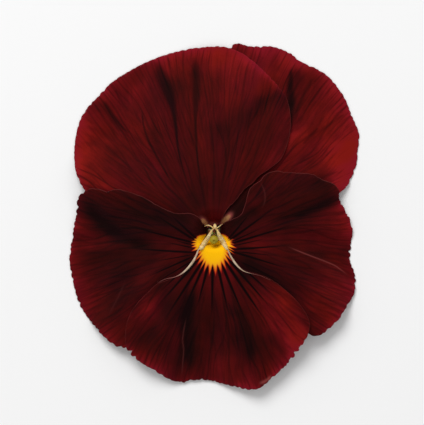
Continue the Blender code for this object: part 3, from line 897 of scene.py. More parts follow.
def claw_spot(name, x, y):
    """The pale spots where an upper petal narrows to its claw."""
    pale = np.zeros_like(x)
    for cx, cy, direction, length, width, strength in CLAW_SPOTS.get(name, ()):
        turn = math.radians(direction)
        along = (x - cx) * math.cos(turn) + (y - cy) * math.sin(turn)
        across = (y - cy) * math.cos(turn) - (x - cx) * math.sin(turn)
        pale = np.maximum(pale, strength * np.exp(-(((along / length) ** 2 + (across / width) ** 2) ** 1.5)))
    return pale


# %% [markdown]
# ## Velvet
# A pansy petal is covered in tiny cones that trap light, so it has almost no gloss and its
# dark parts are really dark. The shader keeps its specular level near zero and adds a
# little sheen for grazing views. Fine veins and streaks lie along a fan, whose coordinates are
# the angle round the throat and the distance from it, stored as a UV map.

# %% Small helpers for materials
def new_material(name):
    """A node material and its Principled shader."""
    made = bpy.data.materials.new(name)
    made.use_nodes = True
    return made, made.node_tree, made.node_tree.nodes["Principled BSDF"]


def node(tree, kind, operation=None, **inputs):
    """A shader node with its inputs set by name or, as in_0 and in_1, by place. Sockets are linked."""
    made = tree.nodes.new(kind)
    if operation:
        made.operation = operation
    for key, value in inputs.items():
        place = int(key[3:]) if key.startswith("in_") else key.replace("_", " ")
        if isinstance(value, bpy.types.NodeSocket):
            tree.links.new(value, made.inputs[place])
        else:
            made.inputs[place].default_value = value
    return made


def math_node(tree, operation, *values):
    """The output of a Math node with the given inputs."""
    made = node(tree, "ShaderNodeMath", operation, **{f"in_{k}": value for k, value in enumerate(values)})
    return made.outputs[0]


def plus(tree, first, second):
    """The sum of two values."""
    return math_node(tree, "ADD", first, second)


def minus(tree, first, second):
    """The difference of two values."""
    return math_node(tree, "SUBTRACT", first, second)


def times(tree, first, second):
    """The product of two values."""
    return math_node(tree, "MULTIPLY", first, second)


def ramp(tree, factor, stops):
    """The colour of a ramp through (position, (r, g, b)) stops."""
    made = node(tree, "ShaderNodeValToRGB", in_0=factor)
    elements = made.color_ramp.elements
    while len(elements) < len(stops):
        elements.new(0.5)
    for element, (position, colour) in zip(elements, stops):
        element.position = position
        element.color = (*colour, 1.0)
    return made.outputs[0]


def blend_colour(tree, factor, first, second):
    """Mixes two colours by a factor."""
    made = tree.nodes.new("ShaderNodeMix")
    made.data_type = "RGBA"
    for socket, value in ((made.inputs[0], factor), (made.inputs[6], first), (made.inputs[7], second)):
        if isinstance(value, bpy.types.NodeSocket):
            tree.links.new(value, socket)
        else:
            socket.default_value = value if isinstance(value, float) else (*value, 1.0)
    return made.outputs[2]


def attribute(tree, name):
    """A number stored on the mesh."""
    made = tree.nodes.new("ShaderNodeAttribute")
    made.attribute_name = name
    return made.outputs["Fac"]


def uv_places(tree, name):
    """The coordinates of a UV map."""
    made = tree.nodes.new("ShaderNodeUVMap")
    made.uv_map = name
    return made.outputs[0]


def places_in_mm(tree, stretch=(1, 1, 1)):
    """Object coordinates in millimetres."""
    where = tree.nodes.new("ShaderNodeTexCoord").outputs["Object"]
    return node(tree, "ShaderNodeMapping", Vector=where, Scale=Vector(stretch) / MM).outputs[0]


def noise(tree, where, scale, detail):
    """A soft noise, whose scale is its number of blobs per unit."""
    return node(tree, "ShaderNodeTexNoise", Vector=where, Scale=scale, Detail=detail).outputs[0]


def dress(tree, shader, colour, relief=None, strength=0.5, **settings):
    """Gives a shader its colour, its fine relief and its plain settings."""
    tree.links.new(colour, shader.inputs["Base Color"])
    if relief is not None:
        bump = node(tree, "ShaderNodeBump", Height=relief, Strength=strength, Distance=BUMP_HEIGHT * MM)
        tree.links.new(bump.outputs[0], shader.inputs["Normal"])
    for name, value in settings.items():
        shader.inputs[name.replace("_", " ")].default_value = value


def two_tones(dark, light):
    """The ramp stops of a tissue that varies between two colours."""
    return (0.3, dark), (0.7, light)


def fan_noise(tree, fan, degrees, length, detail=2.0, distortion=0.0):
    """Noise in long streaks that fan out from the throat: their width in degrees and their length in mm."""
    scale = Vector((360.0 / degrees, FAN_RADIUS / length, 1.0))
    mapped = node(tree, "ShaderNodeMapping", Vector=fan, Scale=scale)
    made = node(
        tree, "ShaderNodeTexNoise", Vector=mapped.outputs[0], Scale=1.0, Detail=detail, Distortion=distortion
    )
    return made.outputs[0]


def thin_lines(tree, noise_value, sharpness):
    """Lines where a noise crosses its middle value: 1 on the line, 0 beside it."""
    away = math_node(tree, "ABSOLUTE", minus(tree, noise_value, 0.5))
    clear = minus(tree, 1.0, times(tree, away, sharpness))
    return math_node(tree, "MAXIMUM", clear, 0.0)


def smooth_step(tree, value, begin, length):
    """A smooth rise from 0 to 1 over a length in millimetres."""
    share = math_node(tree, "DIVIDE", minus(tree, value, begin), length)
    made = node(tree, "ShaderNodeMapRange", Value=share)
    made.interpolation_type = "SMOOTHSTEP"
    return made.outputs[0]


def forked_veins(tree, fan, degrees, width, begin):
    """Thin lines that fan out and fork twice: 1 on a line, 0 beside it, and absent near the throat."""
    parts = node(tree, "ShaderNodeSeparateXYZ", in_0=fan).outputs
    radius = times(tree, parts[1], FAN_RADIUS)
    place = times(tree, parts[0], 360.0 / degrees)
    for span, reach, amount in ((20.0, 24.0, 1.3), (7.0, 8.0, 0.16)):
        sway = minus(tree, fan_noise(tree, fan, span, reach, 1.0), 0.5)
        place = plus(tree, place, times(tree, sway, amount))
    luck = tree.nodes.new("ShaderNodeTexWhiteNoise")
    luck.noise_dimensions = "1D"
    tree.links.new(math_node(tree, "FLOOR", place), luck.inputs["W"])
    luck = luck.outputs["Value"]
    mirrored = math_node(tree, "GREATER_THAN", luck, 0.5)
    across = math_node(tree, "ABSOLUTE", minus(tree, math_node(tree, "FRACT", place), mirrored))
    first_fork = math_node(tree, "MULTIPLY_ADD", luck, 8.0, begin)
    second_fork = math_node(tree, "MULTIPLY_ADD", luck, -7.0, begin + 17.0)
    first = times(tree, smooth_step(tree, radius, first_fork, 9.0), 0.5)
    second = times(tree, smooth_step(tree, radius, second_fork, 8.0), 0.25)
    nearest = math_node(tree, "MINIMUM", across, minus(tree, 1.0, across))
    for course in (first, second, plus(tree, first, second)):
        away = math_node(tree, "ABSOLUTE", minus(tree, across, course))
        nearest = math_node(tree, "MINIMUM", nearest, away)
    away = times(tree, times(tree, nearest, radius), math.radians(degrees) / width)
    line = math_node(tree, "MAXIMUM", minus(tree, 1.0, away), 0.0)
    strength = math_node(tree, "MULTIPLY_ADD", fan_noise(tree, fan, 8.0, 12.0), 3.4, -1.15)
    strength = node(tree, "ShaderNodeClamp", in_0=strength).outputs[0]
    line = times(tree, line, strength)
    return times(tree, line, smooth_step(tree, radius, begin * 0.6, begin))


FAN_RADIUS = 60.0
RED_STOPS = (
    (0, (0.006, 0.0009, 0.0007)),
    (0.2, (0.014, 0.0013, 0.001)),
    (0.4, (0.029, 0.0016, 0.0012)),
    (0.6, (0.056, 0.0021, 0.0016)),
    (0.8, (0.106, 0.0034, 0.0024)),
    (1, (0.205, 0.0068, 0.0042)),
)
CRIMSON_STOPS = (
    (0, (0.0062, 0.0006, 0.0016)),
    (0.2, (0.0142, 0.0008, 0.0022)),
    (0.4, (0.029, 0.0012, 0.0024)),
    (0.6, (0.056, 0.0016, 0.0036)),
    (0.8, (0.106, 0.0026, 0.0066)),
    (1, (0.21, 0.0054, 0.0145)),
)
YELLOW_STOPS = (
    (0, (0.08, 0.002, 0.002)),
    (0.16, (0.36, 0.011, 0.007)),
    (0.32, (0.66, 0.125, 0.008)),
    (0.55, (0.86, 0.37, 0.006)),
    (0.9, (0.98, 0.5, 0.002)),
)
WHISKER_BLACK = (0.0035, 0.0004, 0.0007)
PINK = (0.25, 0.05, 0.045)
CREAM = (0.60, 0.28, 0.12)
BUMP_HEIGHT = 0.05

# %% The velvet of the face
velvet, tree, shader = new_material("petal_velvet")
fan = uv_places(tree, "fan")
place_mm = places_in_mm(tree)
main_veins = forked_veins(tree, fan, 9.4, 0.27, 9.0)
small_veins = forked_veins(tree, fan, 5.6, 0.20, 13.0)
streaks = fan_noise(tree, fan, 2.2, 6.0, 3.0)
mottle = noise(tree, place_mm, 0.35, 5.0)
grain = noise(tree, place_mm, 6.0, 2.0)
tone = attribute(tree, "tone")
for amount, centred in ((-0.20, main_veins), (-0.10, small_veins)):
    tone = plus(tree, tone, times(tree, centred, amount))
for amount, centred in ((0.16, streaks), (0.20, mottle), (0.14, grain)):
    tone = plus(tree, tone, times(tree, minus(tree, centred, 0.5), amount))
hue = fan_noise(tree, fan, 11.0, 13.0, 3.0)
hue = times(tree, minus(tree, hue, 0.40), 2.2)
hue = node(tree, "ShaderNodeClamp", in_0=plus(tree, hue, attribute(tree, "margin"))).outputs[0]
red = blend_colour(tree, hue, ramp(tree, tone, RED_STOPS), ramp(tree, tone, CRIMSON_STOPS))
yellow_share = math_node(tree, "MINIMUM", times(tree, attribute(tree, "yellow"), 6.0), 1.0)
yellow = ramp(tree, attribute(tree, "yellow"), YELLOW_STOPS)
colour = blend_colour(tree, yellow_share, red, yellow)
colour = blend_colour(tree, attribute(tree, "black"), colour, WHISKER_BLACK)
pinkness = math_node(tree, "MINIMUM", times(tree, attribute(tree, "pale"), 2.0), 1.0)
creaminess = times(tree, minus(tree, attribute(tree, "pale"), 0.5), 2.0)
colour = blend_colour(tree, pinkness, colour, PINK)
colour = blend_colour(tree, math_node(tree, "MAXIMUM", creaminess, 0.0), colour, CREAM)
relief = plus(tree, times(tree, main_veins, -0.8), times(tree, grain, 0.8))
velvet_sheen = {"Sheen_Weight": 0.05, "Sheen_Roughness": 0.5, "Sheen_Tint": (0.7, 0.16, 0.2, 1.0)}
dress(tree, shader, colour, relief, Roughness=0.8, Specular_IOR_Level=0.045, **velvet_sheen)
print("velvet has", len(tree.nodes), "nodes")

# %% The back of a petal and its thin rim
back, tree, shader = new_material("petal_back")
fan = uv_places(tree, "fan")
veins = thin_lines(tree, fan_noise(tree, fan, 4.0, 24.0, 1.0, 0.3), 8.0)
# The face's tone, with its painted shade and painted light, darkens and lightens the back too.
shade = minus(tree, attribute(tree, "tone"), times(tree, veins, 0.25))
reds = ((0.0, (0.05, 0.008, 0.012)), (0.5, (0.12, 0.02, 0.026)), (1.0, (0.26, 0.045, 0.055)))
dull = ramp(tree, shade, reds)
dress(tree, shader, dull, veins, 0.6, Roughness=0.6, Specular_IOR_Level=0.2, Sheen_Weight=0.05)

rim, tree, shader = new_material("petal_rim")
fan = uv_places(tree, "fan")
uneven = fan_noise(tree, fan, 3.0, 4.0)
colour = ramp(tree, uneven, two_tones((0.05, 0.004, 0.006), (0.12, 0.012, 0.016)))
dress(tree, shader, colour, Roughness=0.7, Specular_IOR_Level=0.1)
print("the petals' materials:", velvet.name, back.name, rim.name)

# %% [markdown]
# ## The five petals
# Each sheet gets its height, its markings and its fan coordinates, then the Solidify modifier
# gives it its thickness. Solidify can hand the new back and the new rim to the next materials in
# the list, so the face, the back and the rim of one petal each get their own.

# %% Make a petal
MARGIN_CRIMSON = 0.7
MARGIN_WIDTH = 0.9


def add_piece(name, mesh, materials, nodes=()):
    """Puts a finished mesh in the scene, riding on the bloom."""
    made = in_scene(name, mesh)
    for one in materials:
        mesh.materials.append(one)
    mesh.shade_smooth()
    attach(made, "root")
    if nodes:
        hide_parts(*nodes)
    return made


def store(mesh, name, values):
    """Stores a number for every vertex."""
    numbers = mesh.attributes.new(name, "FLOAT", "POINT").data
    numbers.foreach_set("value", np.asarray(values, np.float32))


def thicken(made, thickness, offset):
    """Gives a sheet its thickness in millimetres."""
    shell = made.modifiers.new("thickness", "SOLIDIFY")
    shell.thickness = thickness * MM
    shell.offset = offset
    return shell


def add_petal(name, seed):
    """One painted petal with its thickness."""
    mesh, known = petal_sheet(name, seed)
    tone, black, pale, radius, angle = painted(name, known, seed)
    places = np.stack([known["x"], known["y"], known["z"] + SHEET / 2], axis=1) * MM
    mesh.vertices.foreach_set("co", places.ravel())
    store(mesh, "tone", tone)
    store(mesh, "margin", MARGIN_CRIMSON * np.exp(-known["far"] / MARGIN_WIDTH))
    store(mesh, "black", black)
    yellow = yellow_patch(name, radius, angle, seed)
    store(mesh, "yellow", yellow)
    pale = np.maximum(pale, claw_spot(name, known["x"], known["y"]))
    store(mesh, "pale", pale * (1 - ease(yellow * 4.0)))
    corner_vertex = np.empty(len(mesh.loops), int)
    mesh.loops.foreach_get("vertex_index", corner_vertex)
    fan_places = np.stack([angle / 360.0 + 0.5, radius / FAN_RADIUS], axis=1)[corner_vertex]
    mesh.uv_layers.new(name="fan").data.foreach_set("uv", fan_places.ravel().astype(np.float32))
    mesh.update()
    made = add_piece(name + "_velvet", mesh, (velvet, back, rim), (name,))
    shell = thicken(made, SHEET, -1.0)
    shell.material_offset = 1
    shell.material_offset_rim = 2
    return made


for seed, petal_name in enumerate(OUTLINES):
    petal = add_petal(petal_name, 11 * seed + 3)
    print(petal.name, len(petal.data.polygons), "quads")

# %% [markdown]
# ## Cords
# The turned-up white sides of the lower petal, the beards and their hairs, and the spur are all
# tapered cords. One curve holds any number of them, each with its own radius at every
# point. The curve becomes a mesh, its ends are closed and doubled points are merged.

# %% Make cords
WELD_DISTANCE = 0.004
THINNEST_CORD = 0.012


def close_up(mesh):
    """Merges doubled points and points every face outwards."""
    weld = bmesh.new()
    weld.from_mesh(mesh)
    bmesh.ops.remove_doubles(weld, verts=weld.verts, dist=WELD_DISTANCE * MM)
    bmesh.ops.recalc_face_normals(weld, faces=weld.faces)
    weld.to_mesh(mesh)
    weld.free()
    return mesh


def cords(name, lines, resolution, steps=8):
    """A mesh of tapered tubes, one for each line of (x, y, z, radius) points in millimetres."""
    curve = bpy.data.curves.new(name, "CURVE")
    curve.dimensions = "3D"
    curve.bevel_depth = MM
    curve.bevel_resolution = resolution
    curve.use_fill_caps = True
    for points in lines:
        line = smooth_line(points, steps)
        spline = curve.splines.new("POLY")
        spline.points.add(len(line) - 1)
        for point, (x, y, z, radius) in zip(spline.points, line):
            point.co = (x * MM, y * MM, z * MM, 1.0)
            point.radius = max(radius, THINNEST_CORD)
    holder = in_scene(name, curve)
    bpy.context.view_layer.update()
    evaluated = holder.evaluated_get(bpy.context.evaluated_depsgraph_get())
    mesh = bpy.data.meshes.new_from_object(evaluated)
    bpy.data.objects.remove(holder)
    mesh.materials.clear()
    return close_up(mesh)


def surface(name, x, y):
    """Height of a petal's face at one place."""
    x, y = np.array([x], float), np.array([y], float)
    return float((common_height(x, y) + petal_lift(name, x, y))[0]) + SHEET / 2


def on_petal(name, places, above):
    """Cord points that follow a petal: (x, y, radius) becomes (x, y, z, radius)."""
    return [(x, y, surface(name, x, y) + above * radius, radius) for x, y, radius in places]


def soft_material(name, stops, scale, roughness, specular=0.3, depth=0.0, stretch=(1, 1, 1)):
    """Plant tissue whose colour follows a fine noise, with a little light inside it if depth is given."""
    made, tree, shader = new_material(name)
    fine = noise(tree, places_in_mm(tree, stretch), scale, 3.0)
    colour = ramp(tree, fine, stops)
    dress(tree, shader, colour, fine, 0.35, Roughness=roughness, Specular_IOR_Level=specular)
    if depth:
        shader.inputs["Subsurface Weight"].default_value = 0.4
        shader.inputs["Subsurface Scale"].default_value = depth * MM
        shader.inputs["Subsurface Radius"].default_value = (1.0, 0.6, 0.35)
    return made


curl_white = soft_material("curl_white", two_tones((0.4, 0.27, 0.17), (0.62, 0.48, 0.34)), 1.2, 0.5, 0.2)
TAIL_PINK = (0.22, 0.07, 0.06)
tree = curl_white.node_tree
shader = tree.nodes["Principled BSDF"]
white = shader.inputs["Base Color"].links[0].from_socket
tree.links.new(blend_colour(tree, attribute(tree, "tail"), white, TAIL_PINK), shader.inputs["Base Color"])
print(curl_white.name, "turns pink at", TAIL_PINK)

# %% The turned-up white sides of the lower petal
# Places seen from above with the curl's radius there, and where its pink tail begins
TAIL_BEGIN = 8.5
TAIL_LENGTH = 3.5
CURLS = {
    "left_curl": (
        (-3, -6.8, 0.06), (-3.45, -7.7, 0.14), (-3.95, -9, 0.21), (-4.75, -10.4, 0.26), (-5.9, -11.8, 0.22),
        (-7.2, -12.9, 0.14), (-8.7, -13.6, 0.08), (-10.6, -14, 0.04), (-12.4, -14.9, 0.015),
    ),
    "right_curl": (
        (2.7, -6.8, 0.05), (3, -7.5, 0.11), (3.55, -8.8, 0.18), (4.4, -10.2, 0.22), (5.4, -11.4, 0.17),
        (6.6, -12.3, 0.09), (8.2, -12.8, 0.045), (10.2, -13.3, 0.025), (12.4, -14.3, 0.015),
    ),
}
for curl_name, places in CURLS.items():
    curl_mesh = cords(curl_name, [on_petal("lower_petal", places, 0.5)], 4)
    reach = [math.hypot(vert.co.x, vert.co.y - THROAT[1] * MM) / MM for vert in curl_mesh.vertices]
    store(curl_mesh, "tail", ease((np.array(reach) - TAIL_BEGIN) / TAIL_LENGTH))
    curl = add_piece(curl_name, curl_mesh, (curl_white,))
    print(curl.name, len(curl.data.polygons), "faces")

# %% [markdown]
# ## Beards
# Each side petal carries a beard: a cushion of short club-shaped hairs that starts at the claw,
# arches over the throat and comes down beside the stigma. Together they make the white
# roof over the stigma. The hairs are many, so each one has only a few faces.

# %% The two beards
# Each beard: the petal that it grows from, and its cushion as (x, y, z, radius) points
BEARDS = {
    "left": (
        "left_lateral_petal",
        (
            (-0.44, -3.2, 8, 0.12), (-0.76, -3.9, 8.1, 0.25), (-1.18, -4.75, 8, 0.41),
            (-1.72, -5.6, 7.75, 0.5), (-2.26, -6.4, 7.7, 0.56), (-2.66, -7, 7.9, 0.55),
            (-2.92, -7.38, 7.9, 0.36), (-3.06, -7.6, 7.9, 0.08),
        ),
    ),
    "right": (
        "right_lateral_petal",
        (
            (0.62, -3.1, 8, 0.12), (0.88, -3.75, 8.1, 0.28), (1.2, -4.55, 8, 0.46),
            (1.64, -5.35, 7.75, 0.57), (2.12, -6.15, 7.7, 0.54), (2.52, -6.85, 7.9, 0.42),
            (2.78, -7.35, 7.9, 0.24), (2.92, -7.65, 7.9, 0.06),
        ),
    ),
}
# The pale inner edge of each side petal's claw runs up to the top of the beard
CLAW_EDGES = {
    "left": (
        (-2.3, -2.65, 5.7, 0.05), (-1.9, -2.4, 7, 0.1), (-1.25, -2.25, 7.9, 0.12), (-0.6, -2.5, 8.2, 0.12),
        (-0.15, -2.95, 8.2, 0.12), (-0.42, -3.4, 8, 0.1),
    ),
    "right": (
        (1.9, -2, 5.9, 0.05), (1.55, -2.2, 7, 0.09), (1.1, -2.55, 8, 0.11), (0.65, -2.85, 8.2, 0.11),
        (0.4, -3, 8.2, 0.11), (0.56, -3.4, 8, 0.1),
    ),
}
# Where the two beards meet, their tops make one small tuft
TUFT = (
    (0.15, -1.95, 7.9, 0.14), (0.2, -2.3, 8.1, 0.36), (0.22, -2.65, 8.2, 0.38), (0.2, -3.05, 8.2, 0.16),
)
HAIRS = 260
HAIR_LENGTHS = (0.03, 0.13)
HAIR_ROOT_DEPTH = 0.82
HAIR_RADII = (0.06, 0.07, 0.085, 0.04)


def beard_lines(points, seed):
    """The cushion's own line, and short hairs that stand out of it."""
    rng = np.random.default_rng(seed)
    line = smooth_line(points, 24)
    along = lengths_along(line)
    shares = along / along[-1]
    lines = [points]
    for share in rng.uniform(0.06, 0.96, HAIRS):
        x, y, z, radius = [np.interp(share, shares, line[:, k]) for k in range(4)]
        turn = rng.uniform(-0.25, math.pi + 0.25)
        outward = np.array([math.cos(turn), rng.uniform(-0.6, 0.1), math.sin(turn)])
        outward /= np.linalg.norm(outward)
        length = rng.uniform(*HAIR_LENGTHS)
        root = np.array([x, y, z]) + outward * radius * HAIR_ROOT_DEPTH
        middle = root + outward * length * 0.6
        tip = root + outward * length
        places = (root, middle, tip, tip + outward * 0.05)
        lines.append([(*place, thick) for place, thick in zip(places, HAIR_RADII)])
    return lines


creams = ((0.25, (0.56, 0.34, 0.09)), (0.5, (0.72, 0.5, 0.2)), (0.75, (0.82, 0.62, 0.38)))
beard_cream = soft_material("beard_cream", creams, 1.1, 0.6, 0.15, 0.3)
for seed, (side, (petal_name, points)) in enumerate(BEARDS.items()):
    points = [
        (x, y, max(z, surface(petal_name, x, y), surface("lower_petal", x, y)) + 0.3 * radius, radius)
        for x, y, z, radius in points
    ]
    tuft = [TUFT] if side == "left" else []
    beard = add_piece(
        side + "_beard",
        cords(side + "_beard", [*beard_lines(points, 40 + seed), CLAW_EDGES[side], *tuft], 2, 4),
        (beard_cream,),
    )
    print(beard.name, len(beard.data.polygons), "faces")

# %% [markdown]
# ## Pistil and stamens
# The pistil leans towards the lower petal. Its stigma is a hollow globe with an opening that faces down the
# flower, and it's turned on the spin tool from one profile. Five stamens press against the ovary. Each has a
# cream anther of two lobes on a short filament. The anther is brown at its tip, and its back, deep in the
# throat, is coloured dark brown as painted shade.

# %% Turned shapes
PISTIL_FOOT = Vector((0.0, -3.4, 4.85))
PISTIL_TILT = 25
STAMEN_RADIUS = 1.25
STAMEN_LEAN = 8
STAMEN_ANGLES = {"top": 90, "upper_left": 162, "lower_left": 234, "lower_right": 306, "upper_right": 18}

throat_place = Matrix.Translation(PISTIL_FOOT * MM) @ Matrix.Rotation(math.radians(PISTIL_TILT), 4, "X")


def turned(name, profile, sides, steps=8):
    """A round solid: a smooth profile of (radius, height) points turned about Z."""
    line = smooth_line(profile, steps)
    shape = bmesh.new()
    ring = [shape.verts.new((max(radius, 0.0) * MM, 0.0, height * MM)) for radius, height in line]
    edges = [shape.edges.new(pair) for pair in zip(ring, ring[1:])]
    bmesh.ops.spin(
        shape, geom=ring + edges, cent=(0, 0, 0), axis=(0, 0, 1), angle=math.tau, steps=sides, use_merge=True
    )
    return close_up(as_mesh(shape, name))


olives = two_tones((0.26, 0.19, 0.004), (0.36, 0.27, 0.01))
browns = two_tones((0.17, 0.04, 0.02), (0.3, 0.1, 0.05))
pale_greens = two_tones((0.2, 0.3, 0.05), (0.38, 0.44, 0.1))
stigma_olive = soft_material("stigma_olive", olives, 1.0, 0.45, 0.25)
style_brown = soft_material("style_brown", browns, 1.4, 0.4, 0.3)
ovary_green = soft_material("ovary_green", pale_greens, 1.2, 0.4, 0.4, 0.3)
print("the pistil's materials:", ovary_green.name, style_brown.name, stigma_olive.name)

# %% The pistil
PISTIL_PROFILE = (
    (0, 0), (0.4, 0.02), (0.52, 0.6), (0.56, 1.4), (0.5, 2.2), (0.32, 2.8), (0.22, 3.2), (0.27, 3.6),
    (0.5, 3.85), (0.82, 4.2), (0.95, 4.7), (0.82, 5.2), (0.5, 5.48), (0.28, 5.5), (0.16, 5.36), (0, 5.26),
)
OVARY_TOP = 2.6
STYLE_TOP = 3.9

pistil_mesh = turned("pistil_turned", PISTIL_PROFILE, 48)
pistil_mesh.transform(throat_place)
pistil_looks = (ovary_green, style_brown, stigma_olive)
pistil = add_piece("pistil_fine", pistil_mesh, pistil_looks, ("pistil",))
along_pistil = throat_place.inverted()
for face in pistil_mesh.polygons:
    height = (along_pistil @ face.center).z / MM
    face.material_index = 0 if height < OVARY_TOP else 1 if height < STYLE_TOP else 2
print(pistil.name, len(pistil_mesh.polygons), "faces")

# %% The stamens
LOBE_SIZE = (0.24, 0.29, 0.95)
LOBE_HEIGHT = 1.55
TIP_SIZE = (0.14, 0.28, 0.34)
TIP_HEIGHT = 2.56
FILAMENT_HEIGHT = 0.45
ANTHER_TIP_HEIGHT = 1.9
SHADED_ANTHER_BACK = 0.08

pale_creams = two_tones((0.62, 0.5, 0.24), (0.88, 0.8, 0.52))
anther_cream = soft_material("anther_cream", pale_creams, 1.6, 0.6, 0.15, 0.2)
dark_browns = two_tones((0.14, 0.03, 0.012), (0.26, 0.07, 0.02))
anther_tip_and_shade = soft_material("anther_tip_and_shade", dark_browns, 1.6, 0.6, 0.15)


def add_ball(shape, size, place, segments, rings):
    """Adds an ellipsoid to a shape."""
    verts = bmesh.ops.create_uvsphere(shape, u_segments=segments, v_segments=rings, radius=MM)["verts"]
    bmesh.ops.scale(shape, vec=size, verts=verts)
    bmesh.ops.translate(shape, vec=Vector(place) * MM, verts=verts)


def add_stamen(side, angle):
    """Two lobes, a flat tip above them and a filament below."""
    node_name = "stamen_" + side
    shape = bmesh.new()
    for offset in (-0.24, 0.24):
        add_ball(shape, LOBE_SIZE, (0.0, offset, LOBE_HEIGHT), 20, 14)
    add_ball(shape, TIP_SIZE, (0.0, 0.0, TIP_HEIGHT), 16, 10)
    filament = bmesh.ops.create_cone(
        shape, cap_ends=True, segments=12, radius1=0.10 * MM, radius2=0.16 * MM, depth=0.8 * MM
    )["verts"]
    bmesh.ops.translate(shape, vec=Vector((0.0, 0.0, FILAMENT_HEIGHT)) * MM, verts=filament)
    mesh = as_mesh(shape, node_name)
    for face in mesh.polygons:
        # Brown faces: the tip in its own colour, and the back as painted shade deep in the throat.
        brown = face.center.z > ANTHER_TIP_HEIGHT * MM or face.center.x > SHADED_ANTHER_BACK * MM
        face.material_index = 1 if brown else 0
    turn = Matrix.Rotation(math.radians(angle), 4, "Z")
    outward = Matrix.Translation(Vector((STAMEN_RADIUS * MM, 0.0, 0.0)))
    lean = Matrix.Rotation(-math.radians(STAMEN_LEAN), 4, "Y")
    mesh.transform(throat_place @ turn @ (outward @ lean))
    return add_piece(node_name + "_fine", mesh, (anther_cream, anther_tip_and_shade), (node_name,))


for side, angle in STAMEN_ANGLES.items():
    stamen = add_stamen(side, angle)
print("five stamens, each with", len(stamen.data.polygons), "faces")

# %% [markdown]
# ## Behind the face
# A calyx of five green sepals holds the petals from below. Each sepal is a blade with a short
# ear that reaches back past the place where it's attached. The stub of the stem below the
# receptacle carries the bloom, and the lower petal's spur reaches back between two sepals.

# %% Sepals
SEPAL_ANGLES = {"top": 90, "upper_left": 160, "lower_left": 225, "lower_right": 315, "upper_right": 20}
# Stations of a sepal: distance from the throat's axis, height and width
SEPAL_LINE = (
    (3.7, 0.9, 1.3), (2.9, 2, 2.2), (2.4, 3.2, 1.7), (3, 4.4, 2.2), (4.6, 6, 3.2), (7.5, 6.9, 3.7),
    (11, 6.6, 2.4), (14, 5.6, 0.4),
)
SEPAL_THICKNESS = 0.36
SEPAL_CUP = 0.4
SEPAL_COLUMNS = 14
SEPAL_ROWS = 90
STRIP_STRETCH = Vector((16.0, 1.2, 1.0))

leaf_green, tree, shader = new_material("leaf_green")
strip = uv_places(tree, "strip")
long_places = node(tree, "ShaderNodeMapping", Vector=strip, Scale=STRIP_STRETCH).outputs[0]
veins = thin_lines(tree, noise(tree, long_places, 1.0, 1.0), 6.0)
cloud = noise(tree, places_in_mm(tree), 0.8, 4.0)
shade = plus(tree, times(tree, cloud, 0.7), times(tree, veins, 0.22))
greens = ((0.1, (0.035, 0.085, 0.018)), (0.45, (0.085, 0.18, 0.035)), (0.8, (0.22, 0.34, 0.09)))
dress(tree, shader, ramp(tree, shade, greens), shade, Roughness=0.55, Specular_IOR_Level=0.35)


def add_sepal(side, angle):
    """One sepal: a narrow grid bent along its stations, cupped, toothed a little and thickened."""
    node_name = "sepal_" + side
    rng = np.random.default_rng(angle)
    line = spaced(smooth_line(SEPAL_LINE), np.linspace(0, 1, SEPAL_ROWS + 1))
    turn = math.radians(angle)
    outward = Vector((math.cos(turn), math.sin(turn), 0.0))
    sideways = Vector((-outward.y, outward.x, 0.0))
    phase = rng.uniform(0, FULL_TURN)
    shape = bmesh.new()
    segments = {"x_segments": SEPAL_COLUMNS, "y_segments": SEPAL_ROWS}
    bmesh.ops.create_grid(shape, **segments, size=1.0, calc_uvs=False)
    strip_map = shape.loops.layers.uv.new("strip")
    for face in shape.faces:
        for loop in face.loops:
            loop[strip_map].uv = (loop.vert.co.x * 0.5 + 0.5, loop.vert.co.y * 3.0)
    for vert in shape.verts:
        side_share = vert.co.x
        along = (vert.co.y + 1) / 2
        radius, height, width = line[round(along * SEPAL_ROWS)]
        width = width * (1.0 + 0.05 * math.sin(along * 23 + phase + side_share) * abs(side_share))
        midrib = 0.10 * math.exp(-((side_share / 0.18) ** 2)) * (1 - along)
        cup = SEPAL_CUP * side_share**2 * along + midrib
        centre = Vector((0.0, AXIS_Y, height + cup))
        vert.co = (centre + outward * radius + sideways * side_share * width / 2) * MM
    mesh = as_mesh(shape, node_name)
    made = add_piece(node_name + "_fine", mesh, (leaf_green,), (node_name,))
    thicken(made, SEPAL_THICKNESS, 0.0)
    return made


for side, angle in SEPAL_ANGLES.items():
    sepal = add_sepal(side, angle)
print("five sepals, each with", len(sepal.data.polygons), "quads before thickness")

# %% Receptacle and stem stub
# The stem from its cut end up to the top of the receptacle
STEM_PROFILE = (
    (0, 0), (0.55, 0), (0.88, 0.03), (0.95, 0.12), (0.93, 0.5), (0.9, 1.2), (1.02, 1.9), (1.35, 2.5),
    (1.8, 3.05), (2, 3.6), (2, 4.1), (1.8, 4.38), (1.2, 4.43), (0, 4.43),
)
CUT_HEIGHT = 0.05
SHADE_HEIGHT = 4.1
RIBS = 6
RIB_DEPTH = 0.05

stem_greens = ((0.25, (0.07, 0.14, 0.03)), (0.5, (0.13, 0.23, 0.05)), (0.75, (0.26, 0.38, 0.11)))
stem_green = soft_material("stem_green", stem_greens, 0.9, 0.5, 0.35, 0.3, (3.0, 3.0, 0.5))
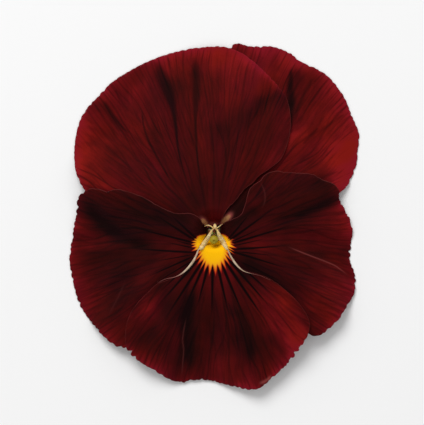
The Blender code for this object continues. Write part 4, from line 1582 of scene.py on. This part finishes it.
# The top of the receptacle is green, but here it gets a near-black colour: painted shade deep in the throat.
painted_shade_tones = two_tones((0.02, 0.02, 0.006), (0.05, 0.05, 0.012))
throat_shade = soft_material("throat_shade", painted_shade_tones, 1.0, 0.6, 0.1)
cut_greens = ((0.35, (0.34, 0.42, 0.16)), (0.65, (0.58, 0.64, 0.34)))
cut_pale = soft_material("cut_pale", cut_greens, 4.0, 0.4, 0.4)
stem_mesh = turned("receptacle_turned", STEM_PROFILE, 60)
for vert in stem_mesh.vertices:
    x, y, z = vert.co / MM
    fading = float(ease((z - 0.1) / 0.5) * ease((4.0 - z) / 1.5))
    rib = 1.0 + RIB_DEPTH * math.cos(RIBS * math.atan2(y, x)) * fading
    vert.co = Vector((x * rib, y * rib + AXIS_Y, z)) * MM
stem_node = "receptacle_and_stem"
stem_looks = (stem_green, cut_pale, throat_shade)
stem = add_piece("receptacle_fine", stem_mesh, stem_looks, (stem_node,))
for face in stem_mesh.polygons:
    height = face.center.z / MM
    face.material_index = 1 if height < CUT_HEIGHT else 2 if height > SHADE_HEIGHT else 0
print(stem.name, len(stem_mesh.polygons), "faces")

# %% The spur
SPUR_RADIUS = 1.15
spur_tones = two_tones((0.1, 0.035, 0.045), (0.2, 0.15, 0.08))
spur_skin = soft_material("spur_skin", spur_tones, 0.6, 0.5, 0.3, 0.3, (2.0, 0.5, 1.0))
mouth_y = AXIS_Y - 3.3
mouth_z = surface("lower_petal", 0.0, mouth_y) - SHEET
SPUR_LINE = (
    (0.0, mouth_y + 0.15, mouth_z - 0.55, SPUR_RADIUS * 0.98),
    (0.0, mouth_y - 0.35, mouth_z - 1.7, SPUR_RADIUS),
    (0.0, mouth_y - 0.9, mouth_z - 3.1, SPUR_RADIUS * 0.95),
    (0.0, mouth_y - 2.0, 2.4, SPUR_RADIUS * 0.9),
    (0.0, -9.3, 1.45, SPUR_RADIUS * 0.78),
    (0.0, -9.75, 1.22, SPUR_RADIUS * 0.5),
    (0.0, -9.95, 1.12, SPUR_RADIUS * 0.16),
)
spur = add_piece("spur", cords("spur", [SPUR_LINE], 8, 6), (spur_skin,))
print(spur.name, len(spur.data.polygons), "faces")

# %% [markdown]
# ## The size of the finished bloom
# Both boxes, of the CAD model and of the visual, are printed in millimetres. The visual may
# stand only a little proud of the CAD model.

# %% Print both boxes and finish
new_low, new_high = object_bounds()
sizes = {"cad": [list(cad_low), list(cad_high)], "visual": [list(new_low), list(new_high)]}
for label, (low, high) in sizes.items():
    print(label, [round((b - a) / MM, 2) for a, b in zip(low, high)], "mm")
